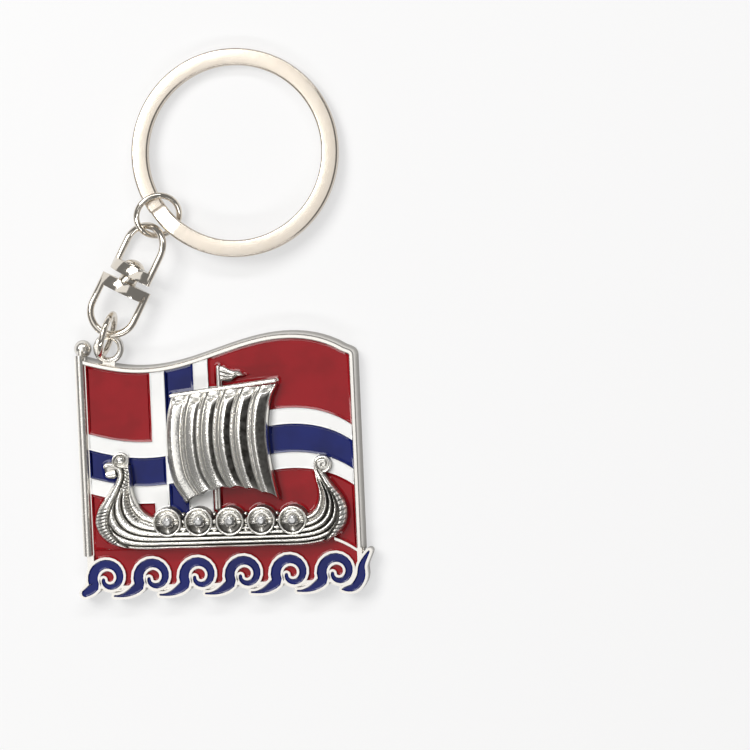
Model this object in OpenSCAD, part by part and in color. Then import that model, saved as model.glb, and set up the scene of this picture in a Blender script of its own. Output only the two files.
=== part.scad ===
// Souvenir keychain: an enamelled flag pendant with a longship in high relief,
// hung from a split ring by two jump rings and a double-bail swivel.
// X runs to the flag's fly, Y up its pole and Z out of its face; the back lies on Z = 0.

/* [Flag plate] */
// Outer edge of the flag's fly, from the plate's middle
fly_edge = 21.55; // [20.8:0.05:22.5]
// Axis of the flag pole, from the plate's middle
pole_x = -21.1; // [-22:0.05:-20.7]
// Foot of the flag, where the ornament band begins
foot_y = -12; // [-12.6:0.1:-11.6]
// Middle height of the waving top edge
crest_y = 18.3; // [17.8:0.1:19.5]
// Half height of the wave in the top edge
wave_h = 2.27; // [1.2:0.05:2.6]
// Length of one wave of the flag
wave_len = 45.6; // [42:0.1:50]
// Thickness of the plate from its back to the top of its rim
plate_t = 3; // [2.6:0.1:3.6]
// Width of the rim round the enamel
rim_w = 0.72; // [0.5:0.02:1]
// How far the drafted side walls spread at the back
draft = 0.42; // [0.2:0.02:0.6]

/* [Enamel] */
// Depth of the red and blue enamel below the rim
enamel_drop = 0.45; // [0.3:0.05:0.8]
// Depth of the white enamel below the rim
white_drop = 0.12; // [0.05:0.01:0.25]
// Thickness of the red and blue enamel
enamel_t = 0.7; // [0.5:0.05:1]
// Hairline between an enamel fill and what stands round it
enamel_fit = 0.02; // [0.01:0.01:0.05]

/* [Flag cross] */
// Left edge of the upright white bar
bar_x = -10.25; // [-11:0.05:-9.8]
// Width of the upright bar with its white edges
bar_w = 9.15; // [8.4:0.05:9.6]
// Width of the blue inside the upright bar
bar_blue_w = 4.5; // [4:0.05:4.8]
// How far the level bar starts below the top edge
level_drop = 10.65; // [10.3:0.05:11]
// Height of the level bar with its white edges
level_h = 9.25; // [8.8:0.05:9.6]
// Height of the blue inside the level bar
level_blue_h = 4.35; // [4:0.05:4.6]

/* [Pole and lug] */
// Diameter of the flag pole
pole_d = 1.4; // [1.2:0.05:1.6]
// Diameter of the ball on the pole
finial_d = 2.7; // [2.4:0.05:3]
// Height of the ball's middle
finial_y = 20.05; // [19.7:0.05:20.5]
// X of the middle of the hanging lug
lug_x = -16.65; // [-17:0.05:-16.2]
// Y of the middle of the hanging lug
lug_y = 20; // [19.8:0.05:20.3]
// Centreline radius of the lug
lug_r = 1.9; // [1.85:0.01:2]
// Thickness of the lug's wire
lug_d = 1; // [0.9:0.02:1.04]

/* [Longship] */
// Highest point of the hull's planking above the plate's rim
hull_rise = 2.1; // [1.4:0.1:2.6]
// Height of the hull's edges above the rim
hull_edge = 0.8; // [0.5:0.05:1.1]
// Number of planks between the gunwale and the keel
planks = 6; // [5:1:7]
// Depth of the groove between two planks
plank_groove = 0.3; // [0.15:0.05:0.4]
// Highest point of the sail above the rim
sail_rise = 3; // [2.2:0.1:3.6]
// Height of the sail's edges above the rim
sail_edge = 1.1; // [0.7:0.1:1.4]
// Number of sail panels between the ribs
panels = 6; // [5:1:7]
// Depth of a sail panel below its ribs
panel_dip = 0.55; // [0.3:0.05:0.7]
// Diameter of the yard across the top of the sail
yard_d = 0.62; // [0.5:0.02:0.8]
// Width of the mast
mast_w = 0.66; // [0.5:0.02:0.8]

/* [Shields] */
// Number of shields along the gunwale
shields = 5; // [4:1:5]
// Outside radius of a shield
shield_r = 2.27; // [2.1:0.01:2.32]
// Distance between two shields
shield_pitch = 4.86; // [4.8:0.01:4.95]
// X of the first shield's middle
shield_x = -8.1; // [-8.3:0.05:-7.9]
// Y of the first shield's middle
shield_y = -6.95; // [-7.1:0.05:-6.8]
// Diameter of the clear round stone on each shield
stone_d = 1.7; // [1.4:0.05:1.9]
// Running gap between a stone and its seat
stone_fit = 0.02; // [0.01:0.01:0.04]

/* [Ornament band] */
// Number of running-wave scrolls
scrolls = 6; // [5:1:6]
// Distance between two scrolls
scroll_pitch = 7.15; // [7:0.05:7.3]
// Radius of a scroll's outer turn
scroll_r = 3.1; // [2.9:0.05:3.2]
// Width of the raised metal line round each enamel wave
outline_w = 0.36; // [0.3:0.02:0.42]

/* [Jump rings] */
// Centreline radius of the lower jump ring
lower_jump_r = 3.3; // [3.25:0.01:3.4]
// Centreline radius of the upper jump ring
upper_jump_r = 3.34; // [3.32:0.01:3.42]
// Wire diameter of both jump rings
jump_d = 0.95; // [0.88:0.01:0.98]
// Angle left open at the butted ends of a jump ring
jump_seam = 1.5; // [1:0.5:3]

/* [Swivel] */
// Outside width of a bail
bail_w = 8.2; // [8.1:0.05:8.4]
// Reach of a bail's wire beyond its base
bail_reach = 7.2; // [7.1:0.05:7.4]
// Wire diameter of a bail
bail_d = 1.1; // [1:0.02:1.12]
// Thickness of a bail's base along the swivel's axis
base_t = 1.8; // [1.6:0.05:2]
// Depth of a bail's base across the swivel's axis
base_depth = 4.9; // [4.6:0.05:5]
// Distance between the two bases
base_gap = 1; // [0.9:0.05:1.2]
// Diameter of the rivet's shank
rivet_d = 1.6; // [1.4:0.05:1.8]
// Diameter of the rivet's domed head
rivet_head_d = 3.4; // [3:0.05:3.6]
// Height of the rivet's domed head
rivet_head_h = 0.9; // [0.7:0.05:1]
// Running clearance round the rivet and at both faces of the turning base
rivet_play = 0.06; // [0.04:0.01:0.1]

/* [Split ring] */
// Outside diameter of the split ring
ring_od = 32; // [31:0.5:33]
// Width of the split ring's band
band_w = 2.6; // [2.4:0.05:2.65]
// Thickness of one layer of the band
layer_t = 0.8; // [0.7:0.02:0.82]
// Gap between the two layers
layer_gap = 0.06; // [0.04:0.01:0.08]
// Rounding of the band's edges
band_round = 0.3; // [0.15:0.05:0.34]

/* [How the chain lies] */
// Direction of the standing jump ring, clockwise from the pole
lower_jump_turn = 18.1; // [17:0.1:19]
// Direction of the swivel, clockwise from the pole
swivel_turn = 28; // [27:0.1:29]
// Slope of the swivel down towards the split ring
swivel_slope = 2.95; // [2.6:0.01:3.3]
// Turn of the upper bail about the swivel's axis
bail_turn = 28; // [26:0.1:29]
// Direction in which the upper jump ring slopes down
upper_jump_dir = -48.8; // [-50:0.1:-47]
// Slope of the upper jump ring
upper_jump_slope = 30.8; // [30.5:0.1:32]
// Direction in which the split ring slopes down
ring_dir = 80.8; // [78:0.1:84]
// Slope of the split ring
ring_slope = 3.5; // [3.3:0.1:3.7]

/* [Hidden] */
STONES = [for (i = [1:shields]) str("crystal_", i)];
WAVES = [for (i = [1:scrolls]) str("wave_blue_", i)];

silver = [0.80, 0.79, 0.76];
nickel = [0.84, 0.82, 0.79];
red = [0.52, 0.02, 0.04];
blue = [0.01, 0.03, 0.32];
white = [0.96, 0.96, 0.95];

eps = 0.01;
white_z = plate_t - white_drop;          // top of the white enamel
enamel_z = plate_t - enamel_drop;        // top of the red and blue enamel
floor_z = enamel_z - enamel_t;           // floor of the recess, where the ship stands
hoist_x = pole_x + pole_d / 2 + 0.15;    // left edge of the enamel, beside the pole
fly_x = fly_edge - rim_w;                // right edge of the enamel
swell = 1.4;                             // extra droop of the top edge towards the fly

// ---------- curves ----------

// A point on a smooth curve through the points of P, with t running from 0 to 1
function spline(P, t) =
    let (n = len(P) - 1, s = min(max(t, 0), 0.99999) * n, i = floor(s), f = s - i,
         a = P[max(i - 1, 0)], b = P[i], c = P[i + 1], d = P[min(i + 2, n)])
    0.5 * (2 * b + (c - a) * f + (2 * a - 5 * b + 4 * c - d) * f * f
           + (3 * b - a - 3 * c + d) * f * f * f);

function curve(P, n, from = 0, to = 1) =
    [for (k = [0:n]) spline(P, from + (to - from) * k / n)];

function smooth(t) = let (c = min(max(t, 0), 1)) c * c * (3 - 2 * c);

function mix(a, b, t) = a + (b - a) * t;

function reverse(P) = [for (i = [len(P) - 1:-1:0]) P[i]];

// Height of the enamel's top edge at x
function top_y(x) = crest_y + wave_h * sin(360 * (x - 0.2) / wave_len)
                    - swell * pow(max(x, 0) / 21, 7);

// The top edge, or any band of the flag, as a wavy line between two places
function wavy(x0, x1, drop = 0, n = 40) =
    [for (k = [0:n]) let (x = mix(x0, x1, k / n)) [x, top_y(x) - drop]];

// Direction of a line of points at its point i
function along(C, i) =
    let (n = len(C) - 1, t = C[min(i + 1, n)] - C[max(i - 1, 0)]) t / norm(t);

function left_of(t) = [-t.y, t.x];

// The round end of a stroke of half width h, from its left side to its right
function cap(c, t, h) =
    [for (a = [60:-30:-60]) c + h * (cos(a) * t + sin(a) * left_of(t))];

// A round-ended stroke along a centreline, with a half width at each point
function stroke(C, H) =
    let (n = len(C) - 1, N = [for (i = [0:n]) left_of(along(C, i))])
    concat([for (i = [0:n]) C[i] + N[i] * H[i]], cap(C[n], along(C, n), H[n]),
           reverse([for (i = [0:n]) C[i] - N[i] * H[i]]), cap(C[0], -along(C, 0), H[0]));

// ---------- solids from curves ----------

// A relief: a sheet of rows of points, closed down to the level z0
module relief(G, z0) {
    m = len(G) - 1;
    n = len(G[0]) - 1;
    w = n + 1;
    rim = concat([for (j = [0:n - 1]) [0, j]], [for (i = [0:m - 1]) [i, n]],
                 [for (j = [n:-1:1]) [m, j]], [for (i = [m:-1:1]) [i, 0]]);
    r = len(rim);
    base = (m + 1) * w;
    pts = concat([for (row = G) for (p = row) p],
                 [for (k = rim) let (p = G[k[0]][k[1]]) [p.x, p.y, z0]]);
    tops = [for (i = [0:m - 1]) for (j = [0:n - 1]) for (half = [0, 1])
            let (a = i * w + j, b = a + 1, c = a + w, d = c + 1) half == 0 ? [a, b, d] : [a, d, c]];
    walls = [for (k = [0:r - 1]) let (l = (k + 1) % r,
             a = rim[k][0] * w + rim[k][1], b = rim[l][0] * w + rim[l][1])
             [a, base + k, base + l, b]];
    polyhedron(pts, concat(tops, walls, [[for (k = [r - 1:-1:0]) base + k]]));
}

// ---------- flag plate ----------

// The outer edge of the rim: along the top, round the corner and down the fly
corner_r = 1.1;
rim_path =
    let (x = fly_edge - corner_r, y = top_y(x) + rim_w)
    concat(wavy(pole_x, x - 0.4, -rim_w, 34),
           [for (a = [60:-20:0]) [x + corner_r * cos(a), y - corner_r * (1 - sin(a)) * 0.9]],
           [[fly_edge, foot_y - 0.2]]);

// The rim's section, outward from its outer edge and up: flat top, soft edges, drafted wall
rim_section = [[-rim_w, 0], [-rim_w, plate_t - 0.1], [-rim_w + 0.12, plate_t], [-0.18, plate_t],
               [0, plate_t - 0.16], [draft, 0.1], [draft - 0.1, 0]];

// A closed section carried along a path in the plane, with mitred corners
module sweep(path, section) {
    n = len(path);
    k = len(section);
    pts = [for (i = [0:n - 1]) let (w = left_of(along(path, i))) for (s = section)
           [path[i].x + w.x * s.x, path[i].y + w.y * s.x, s.y]];
    sides = [for (i = [0:n - 2]) for (j = [0:k - 1]) let (l = (j + 1) % k)
             each [[i * k + j, i * k + l, (i + 1) * k + l], [i * k + j, (i + 1) * k + l, (i + 1) * k + j]]];
    polyhedron(pts, concat([[for (j = [k - 1:-1:0]) j]], sides, [[for (j = [0:k - 1]) (n - 1) * k + j]]));
}

module rim() sweep(rim_path, rim_section);

// Everything inside the rim's inner wall, with no lower side
module inside_rim() {
    n = len(rim_path);
    polygon(concat([for (i = [0:n - 1]) rim_path[i] - rim_w * left_of(along(rim_path, i))],
                   [[fly_edge - rim_w, -30], [-30, -30], [-30, top_y(pole_x)]]));
}

// The field between two upright lines and two drops from the top edge
module field(x0, x1, d0, d1) {
    polygon(concat(wavy(x0, x1, d0), reverse(wavy(x0, x1, d1))));
}

// The field between two upright lines and a drop from the top edge, down to a level line
module field_down(x0, x1, d0, y1) {
    polygon(concat(wavy(x0, x1, d0), [[x1, y1], [x0, y1]]));
}

// Plan of the ship: everything that stands out of the enamel
module ship_print() {
    polygon(concat(curve(gunwale, hull_m), reverse(curve(keel, hull_m))));
    polygon(head_outline());
    polygon(sail_outline());
    polygon(pennant_outline());
    translate(scroll_at) circle(r = scroll_out, $fn = 40);
    for (i = [0:shields - 1]) translate(shield_at(i)) circle(r = shield_r, $fn = 60);
    translate([mast_x - mast_w / 2, yard_l.y]) square([mast_w, mast_top - yard_l.y - mast_w / 2]);
    translate([mast_x, mast_top - mast_w / 2]) circle(d = mast_w, $fn = 24);
    translate([low_mast_x - low_mast_w / 2, shield_y]) square([low_mast_w, 5.2]);
    translate(yard_l) rotate(yard_a) {
        translate([0, -yard_d / 2]) square([yard_len, yard_d]);
        circle(d = yard_d, $fn = 24);
        translate([yard_len, 0]) circle(d = yard_d, $fn = 24);
    }
}

x_bar_r = bar_x + bar_w;
x_blue_l = bar_x + (bar_w - bar_blue_w) / 2;
x_blue_r = x_blue_l + bar_blue_w;
d_bar_b = level_drop + level_h;
d_blue_t = level_drop + (level_h - level_blue_h) / 2;
d_blue_b = d_blue_t + level_blue_h;
border_drop = 29.7;      // the flag's own lower edge, a raised line near the fly
border_w = 0.4;
border_x = 17.4;         // where that line leaves the hull
hull_x = -13.9;          // the neck and the hull part the cells of the hoist here
hair = 0.012;

// Plan of each enamel cell of the flag, before the ship is taken out of it
module cell_plan(name) {
    if (name == "canton_red") field(hoist_x, bar_x, 0, level_drop);
    if (name == "fly_red_upper") field(x_bar_r, fly_x, 0, level_drop);
    if (name == "top_blue") field(x_blue_l, x_blue_r, 0, d_blue_t + 1);
    if (name == "hoist_blue") field(hoist_x, hull_x - 1.3, d_blue_t, d_blue_b);
    if (name == "inner_blue") field(hull_x - 1.3, x_blue_l - 0.35, d_blue_t, d_blue_b);
    if (name == "foot_blue") field_down(x_blue_l, low_mast_x - low_mast_w, d_blue_b, shield_y);
    if (name == "fly_blue") field(x_blue_r + 2, fly_x, d_blue_t, d_blue_b);
    if (name == "hoist_red_lower") field_down(hoist_x, hull_x, d_bar_b, band_top);
    if (name == "small_red_lower") field_down(hull_x, bar_x, d_bar_b + 0.25, shield_y);
    if (name == "midship_red") field_down(x_bar_r, scroll_at.x, d_bar_b, shield_y);
    if (name == "fly_red_lower") field(scroll_at.x, fly_x, d_bar_b, border_drop);
}

CELLS = ["canton_red", "fly_red_upper", "hoist_red_lower", "small_red_lower", "midship_red",
         "fly_red_lower", "top_blue", "hoist_blue", "inner_blue", "foot_blue", "fly_blue"];

// Enamel poured on the floor of the recess up to the level z
module pour(colour, z) {
    color(colour) translate([0, 0, floor_z]) linear_extrude(z - floor_z)
        offset(delta = -enamel_fit) children();
}

module cell(name, colour) {
    pour(colour, enamel_z) difference() {
        intersection() {
            cell_plan(name);
            offset(delta = hair) inside_rim();
        }
        ship_print();
        if (name == "foot_blue") white_patch();
        if (name == "fly_red_upper") yard_notch();
    }
}

// No enamel runs into the narrow corner between the mast and the yard
module yard_notch() {
    translate([x_bar_r - 0.5, 11.5]) square([mast_x - x_bar_r, 2.1]);
}

// Below the sail the white runs down to the shields, left of the mast
module white_patch() {
    translate([-4.9, shield_y]) square([4.9, 6]);
}

module white_plan() {
    difference() {
        intersection() {
            union() {
                field(hoist_x, fly_x, level_drop, d_bar_b + 0.25);
                field_down(bar_x, x_bar_r, 0, shield_y);
            }
            offset(delta = hair) inside_rim();
        }
        // the cells are taken out a hair large, so that no thread of white is left along their edges
        for (c = CELLS) if (c != "foot_blue") offset(delta = hair) cell_plan(c);
        offset(delta = hair) difference() {
            cell_plan("foot_blue");
            white_patch();
        }
        ship_print();
    }
}

module canton_red() cell("canton_red", red);
module fly_red_upper() cell("fly_red_upper", red);
module hoist_red_lower() cell("hoist_red_lower", red);
module small_red_lower() cell("small_red_lower", red);
module midship_red() cell("midship_red", red);
module fly_red_lower() cell("fly_red_lower", red);
module top_blue() cell("top_blue", blue);
module hoist_blue() cell("hoist_blue", blue);
module inner_blue() cell("inner_blue", blue);
module foot_blue() cell("foot_blue", blue);
module fly_blue() cell("fly_blue", blue);

module cross_white() pour(white, white_z) white_plan();

finial_z = finial_d / 2 + 0.25;
lug_z = 1.7;

module pole() {
    y1 = finial_y - 1;
    z = plate_t - pole_d / 2 + 0.25;
    translate([pole_x, foot_y, z]) rotate([-90, 0, 0]) cylinder(d = pole_d, h = y1 - foot_y, $fn = 32);
    x0 = pole_x - pole_d / 2 - 0.1;
    translate([x0, foot_y, 0]) cube([hoist_x - x0, y1 - foot_y - 0.3, z]);
    translate([pole_x + 0.25, finial_y - 1.5, z])
        rotate([-90, 0, 0]) cylinder(d = pole_d - 0.3, h = 1.2, $fn = 32);
    translate([pole_x + 0.4, finial_y, finial_z]) sphere(d = finial_d, $fn = 48);
}

module lug() {
    translate([lug_x, lug_y, lug_z]) rotate_extrude($fn = 72)
        translate([lug_r, 0]) circle(d = lug_d, $fn = 32);
    // the lug's foot runs down into the rim
    translate([lug_x - 0.95, lug_y - lug_r - 1, lug_z - 0.4]) cube([1.9, 1.1, 0.8]);
}

module flag_casting() {
    color(silver) difference() {
        union() {
            linear_extrude(floor_z) offset(delta = eps) {
                polygon(concat([for (p = rim_path) p - [0.3, 0.3]], [[pole_x, foot_y]]));
                band_floor();
            }
            rim();
            pole();
            lug();
            translate([0, 0, floor_z - eps]) linear_extrude(plate_t - floor_z + eps) raised_lines();
        }
        for (s = pegs) translate([s.x, s.y, floor_z - peg_h - peg_fit])
            cylinder(r = peg_r + peg_fit, h = 3, $fn = 32);
    }
}

// ---------- ornament band of running waves ----------

band_top = foot_y + 0.95;                     // the red runs up to the ship's keel
band_mid = foot_y - 3.5;                      // middle of the scrolls
scroll_x0 = -(scrolls - 1) * scroll_pitch / 2 - 0.25;
wave_k = 0.79 * scroll_r;                     // radius of a scroll's centreline
wave_swell = 0.26 * scroll_r;                 // half width of its thickest stretch
wave_tip = 0.09 * scroll_r;                   // half width of its tip
wave_z = enamel_z + 0.2;                      // top of the blue in the waves

// One running wave: a swell that rises, turns over and curls in to a point
function wave_line(from = 0, n = 30) =
    [for (k = [0:n]) let (s = mix(from, 1, k / n))
        s < 0.32
        ? let (t = s / 0.32, a = [-scroll_pitch + 0.9, 0.35 - scroll_r],
               b = [-scroll_r - 1.1, 0.15 - scroll_r], c = wave_k * [cos(208), sin(208)])
          a * pow(1 - t, 2) + 2 * b * t * (1 - t) + c * t * t
        : let (t = (s - 0.32) / 0.68, a = 208 - 372 * t)
          (wave_k - 0.54 * scroll_r * pow(t, 1.7)) * [cos(a), sin(a)]];

function wave_half(from = 0, n = 30) =
    [for (k = [0:n]) let (s = mix(from, 1, k / n))
        s < 0.32 ? mix(0.16, wave_swell, smooth(s / 0.32))
                 : mix(wave_swell, wave_tip, pow((s - 0.32) / 0.68, 1.4))];

// The first wave starts short, because no other wave stands before it
function wave_from(i) = i == 0 ? 0.2 : 0;

module wave_plan(g, from = 0) {
    polygon(stroke(wave_line(from), [for (h = wave_half(from)) h + g]));
}

function scroll_place(i) = [scroll_x0 + i * scroll_pitch, band_mid];

// The last crest, still rising beside the fly
crest = let (x = scroll_place(scrolls - 1).x + scroll_r, y = band_mid)
    curve([[x - 2.4, y - 2.7], [x - 0.6, y - 2.4], [x + 0.5, y - 0.9], [x + 0.75, y + 1],
           [x + 1.9, y + 3]], 16);
crest_half = [for (k = [0:16]) 0.16 + 0.55 * sin(180 * pow(k / 16, 0.8))];

module crest_plan(g) {
    polygon(stroke(crest, [for (h = crest_half) h + g]));
}

module band_print(g) {
    for (i = [0:scrolls - 1]) translate(scroll_place(i)) {
        wave_plan(g, wave_from(i));
        // metal fills the corner where the swell turns into the scroll
        if (g > 0) translate([-1.11, -0.25] * scroll_r) circle(r = 0.16, $fn = 12);
    }
    crest_plan(g);
}

ground_low = band_mid - 1.2;                  // lower edge of the red between the scrolls
ground_r = 0.4 * scroll_r;                    // and in the eye of each scroll

// Red ground behind the scrolls
module band_ground() {
    difference() {
        translate([hoist_x, ground_low]) square([fly_x - hoist_x, foot_y - ground_low]);
        for (i = [0:scrolls - 1]) translate(scroll_place(i)) circle(r = 0.65 * scroll_r, $fn = 36);
    }
    for (i = [0:scrolls - 1]) translate(scroll_place(i)) circle(r = ground_r, $fn = 36);
}

// The ground with what lies over it, up to the keel and the border line
module band_red_plan() {
    difference() {
        union() {
            band_ground();
            translate([hoist_x, foot_y - eps]) square([border_x - hoist_x, band_top - foot_y + eps]);
            translate([hull_x, foot_y - eps]) square([border_x - hull_x, 2.4]);
            translate([border_x - eps, foot_y - 0.4]) square([fly_x - border_x + eps, 2.5]);
        }
        band_print(outline_w);
        ship_print();
        border_strip(d_bar_b);
    }
}

// From a drop down to the lower side of the flag's border line
module border_strip(drop) {
    polygon(concat(wavy(border_x, fly_edge - 0.2, drop, 10),
                   reverse(wavy(border_x, fly_edge - 0.2, border_drop + border_w, 10))));
}

// The raised line that closes the flag near the fly
module border_line() border_strip(border_drop);

// The sheet that carries the band, hidden under the waves and the red between them
module band_floor() {
    translate([pole_x - 0.4, ground_low]) square([fly_edge - pole_x + 0.6, foot_y - ground_low + 0.2]);
    offset(delta = outline_w) band_ground();
    // below each scroll the sheet reaches the next wave
    for (i = [0:scrolls - 1]) translate(scroll_place(i))
        polygon([[-1.7, -1.2], [-1.2, -2.0], [0.2, -2.45], [2.2, -2.35], [3.8, -1.3], [3.6, -0.9]]);
    band_print(outline_w);
}

// The wall that holds the red in below the scrolls
module ground_wall() {
    difference() {
        offset(delta = outline_w) band_ground();
        band_ground();
        translate([-30, ground_low]) square([60, 10]);
    }
}

// Everything on the plate that rises to the rim's level
module raised_lines() {
    offset(delta = eps) {
        difference() {
            union() {
                band_print(outline_w);
                ground_wall();
                // the two upper corners of the band
                for (x = [[hoist_x - 0.5, hoist_x], [fly_x, fly_edge]]) translate([x[0], band_mid - 0.2])
                    square([x[1] - x[0], foot_y - band_mid + 0.3]);
            }
            band_print(0);
        }
        difference() {
            border_line();
            ship_print();
        }
    }
}

module band_red() {
    pour(red, enamel_z) band_red_plan();
}

module wave_blue(i) {
    translate(scroll_place(i)) pour(blue, wave_z) wave_plan(0, wave_from(i));
}

module crest_blue() {
    pour(blue, wave_z) crest_plan(0);
}

// ---------- longship ----------

// Gunwale and keel, each from the dragon's neck to the stern's scroll
gunwale = [[-13.8, 2.0], [-13.65, 0], [-13.5, -2], [-12.9, -3.9], [-11.8, -5.3], [-10.4, -6.1],
           [-8.1, -6.6], [-3.2, -6.8], [1.65, -6.85], [6.6, -6.9], [11.35, -6.8], [13.3, -6.5],
           [14.6, -5.7], [15.3, -4.2], [15.35, -2.6], [15.0, -1], [14.75, 0.5]];
keel = [[-16.0, 1.2], [-15.8, 0.1], [-17.4, -2.3], [-19.05, -4.8], [-19.45, -7.3], [-17.9, -9.7],
        [-14.2, -10.95], [-8, -11.1], [0, -11.1], [8, -11.1], [13.6, -11.05], [17.2, -10.2],
        [19.2, -8.3], [19.65, -6], [19, -3.8], [17.5, -1.8], [15.95, 0.3]];
head_at = [-15.3, 2.6];         // middle of the dragon's head
head_r = 1.35;
scroll_at = [16.1, 1.15];       // middle of the stern's scroll
scroll_out = 1.42;
hull_m = 42;                    // steps along the hull and down the sail
sail_m = 12;
yard_l = [-6.75, 12.45];
yard_r = [9.5, 14.25];
yard_a = atan2(yard_r.y - yard_l.y, yard_r.x - yard_l.x);
yard_len = norm(yard_r - yard_l);
mast_x = 0.62;
mast_top = 16.9;
low_mast_x = -0.45;             // the mast shows again below the sail
low_mast_w = 0.9;
deep_z = floor_z - 0.3;         // where the ship's parts start, before one cut levels them
ship_h = plate_t - deep_z;      // from there to the rim's level

// The sail's edges, from the yard down
sail_left = [[-6.8, 12.3], [-7.45, 9.6], [-7.75, 6.5], [-7.7, 3.2], [-7.25, 0], [-6.5, -2], [-5.2, -4.2]];
sail_right = [[9.75, 13.7], [8.7, 11.6], [8.1, 8.6], [7.95, 5.4], [8.3, 1.6], [8.8, -1.6], [9.3, -4]];

// How high the foot of the sail is drawn up at each place across it
function sail_sag(u) = 2.2 * pow(sin(180 * u), 0.8) + 0.3 * abs(sin(180 * panels * u));

function sail_xy(u, v) =
    let (p = mix(spline(sail_left, v), spline(sail_right, v), u)) [p.x, p.y + v * v * sail_sag(u)];

function sail_z(u, v) =
    plate_t + sail_edge
    + (sail_rise - sail_edge) * pow(sin(180 * mix(0.06, 0.94, u)), 0.7) * mix(0.35, 1, sin(150 * v))
    - panel_dip * pow(abs(sin(180 * panels * u)), 0.8) * mix(0.5, 1, smooth(4 * v));

function sail_outline() =
    concat(curve(sail_left, sail_m), [for (k = [1:2 * panels]) sail_xy(k / (2 * panels), 1)],
           reverse(curve(sail_right, sail_m)));

function pennant_outline() =
    concat(curve([[mast_x, mast_top - 0.1], [1.5, 16.5], [2.6, 15.85], [3.7, 15.8], [4.6, 15.2]], 10),
           curve([[4.6, 15.2], [3.5, 15.1], [2.9, 14.7], [2.1, 14.35], [mast_x, 14.6]], 10));

// The dragon's head: a domed brow and an open muzzle to the left
function head_outline() =
    concat([for (a = [180:-20:0]) head_at + head_r * [cos(a), sin(a)]],
           [[-13.85, 1.2], [-15.9, 0.6]],
           curve([[-16.1, 0.0], [-16.9, -0.1], [-17.8, 0.3], [-17.9, 1.1], [-18.0, 1.9], [-17.5, 2.35],
                  [-16.9, 2.45]], 12));

function hull_z(u, v) =
    let (ends = smooth(min(u, 1 - u) * 9), belly = pow(sin(180 * mix(0.08, 0.95, v)), 0.75))
    plate_t + hull_edge + (hull_rise - hull_edge) * belly * mix(0.35, 1, ends)
    - plank_groove * (1 - pow(abs(sin(180 * planks * v)), 0.45)) * mix(0.5, 1, ends);

module hull_planks() {
    m = hull_m;
    n = planks * 3;
    relief([for (i = [0:m]) let (u = i / m, a = spline(gunwale, u), b = spline(keel, u))
            [for (j = [0:n]) let (p = mix(b, a, j / n)) [p.x, p.y, hull_z(u, 1 - j / n)]]], deep_z);
}

module sail() {
    m = sail_m;
    n = panels * 6;
    relief([for (j = [0:n]) [for (i = [0:m]) let (p = sail_xy(j / n, 1 - i / m))
            [p.x, p.y, sail_z(j / n, 1 - i / m)]]], deep_z);
}

module dragon_head() {
    top = plate_t + 0.9;
    translate([0, 0, deep_z]) linear_extrude(top - deep_z - 0.35) polygon(head_outline());
    translate([head_at.x, head_at.y, top - 0.6]) rotate([0, 0, 5]) sphere(r = head_r * 0.96, $fn = 18);
    // upper jaw, tongue and lower jaw
    jaw([-16.1, 2.0], [-17.5, 1.9], 0.42, top - 0.3);
    jaw([-16.0, 1.25], [-17.5, 1.2], 0.3, top - 0.4);
    jaw([-15.9, 0.4], [-17.45, 0.6], 0.42, top - 0.35);
}

module jaw(a, b, r, z) {
    hull() for (p = [a, b]) translate([p.x, p.y, z]) sphere(r = r, $fn = 10);
}

// The stern ends in a scroll, one stroke wound inwards
module stern_scroll() {
    n = 26;
    path = [for (k = [0:n]) let (a = 205 - 520 * k / n, r = mix(1.12, 0.2, pow(k / n, 0.85)))
            scroll_at + r * [cos(a), sin(a)]];
    translate([0, 0, deep_z]) {
        linear_extrude(ship_h + 1) polygon(stroke(path, [for (k = [0:n]) mix(0.3, 0.18, k / n)]));
        linear_extrude(ship_h + 0.4) translate(scroll_at) circle(r = scroll_out - 0.15, $fn = 30);
    }
}

function shield_at(i) = [shield_x + i * shield_pitch, shield_y - 0.05 * i];

shield_z = plate_t + hull_rise + 0.2;        // rim level of the shields
stone_h = stone_d * 0.42;
dish_z = shield_z - 0.98;                    // the dish's lowest level
stone_z = shield_z - 0.4;                    // the stone's girdle
seat_r = stone_d / 2 + stone_fit;
dish_r = shield_r - 0.42;

module shield(i) {
    c = shield_at(i);
    translate([c.x, c.y, 0]) {
        rotate([0, 0, 7.5]) rotate_extrude($fn = 24) polygon(concat(
            [[0, deep_z - 0.1], [shield_r, deep_z - 0.1], [shield_r, shield_z - 0.15],
             [shield_r - 0.12, shield_z], [shield_r - 0.28, shield_z], [dish_r, shield_z - 0.28]],
            [for (k = [1:3]) [mix(dish_r, seat_r + 0.12, k / 3), shield_z - 0.28 - 0.7 * sin(30 * k)]],
            [[0, dish_z]]));
        // four claws hold the stone
        for (a = [45:90:315]) rotate(a) hull() {
            translate([seat_r + 0.2, 0, shield_z - 1.1]) sphere(r = 0.26, $fn = 8);
            translate([seat_r + 0.08, 0, stone_z + 0.2]) sphere(r = 0.2, $fn = 8);
        }
        // ribs run from the seat to the rim
        for (a = [0:90:270]) rotate(a) hull() {
            translate([seat_r + 0.1, 0, shield_z - 0.94]) sphere(r = 0.17, $fn = 7);
            translate([dish_r, 0, shield_z - 0.41]) sphere(r = 0.17, $fn = 7);
        }
    }
}

// A brilliant: a flat table, a bevelled crown and a cone below the girdle
module crystal(i) {
    c = shield_at(i);
    r = stone_d / 2;
    color([0.93, 0.95, 0.97]) translate([c.x, c.y, stone_z]) {
        cylinder(r1 = r, r2 = r * 0.58, h = stone_h * 0.6, $fn = 16);
        translate([0, 0, -stone_h]) cylinder(r1 = 0.15, r2 = r, h = stone_h, $fn = 16);
    }
}

// Pegs under the ship stand in sockets in the plate
pegs = [[-13, -8], [2, 6], [14.5, -8.6]];
peg_r = 0.8;
peg_h = 1.1;
peg_fit = 0.04;

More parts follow.
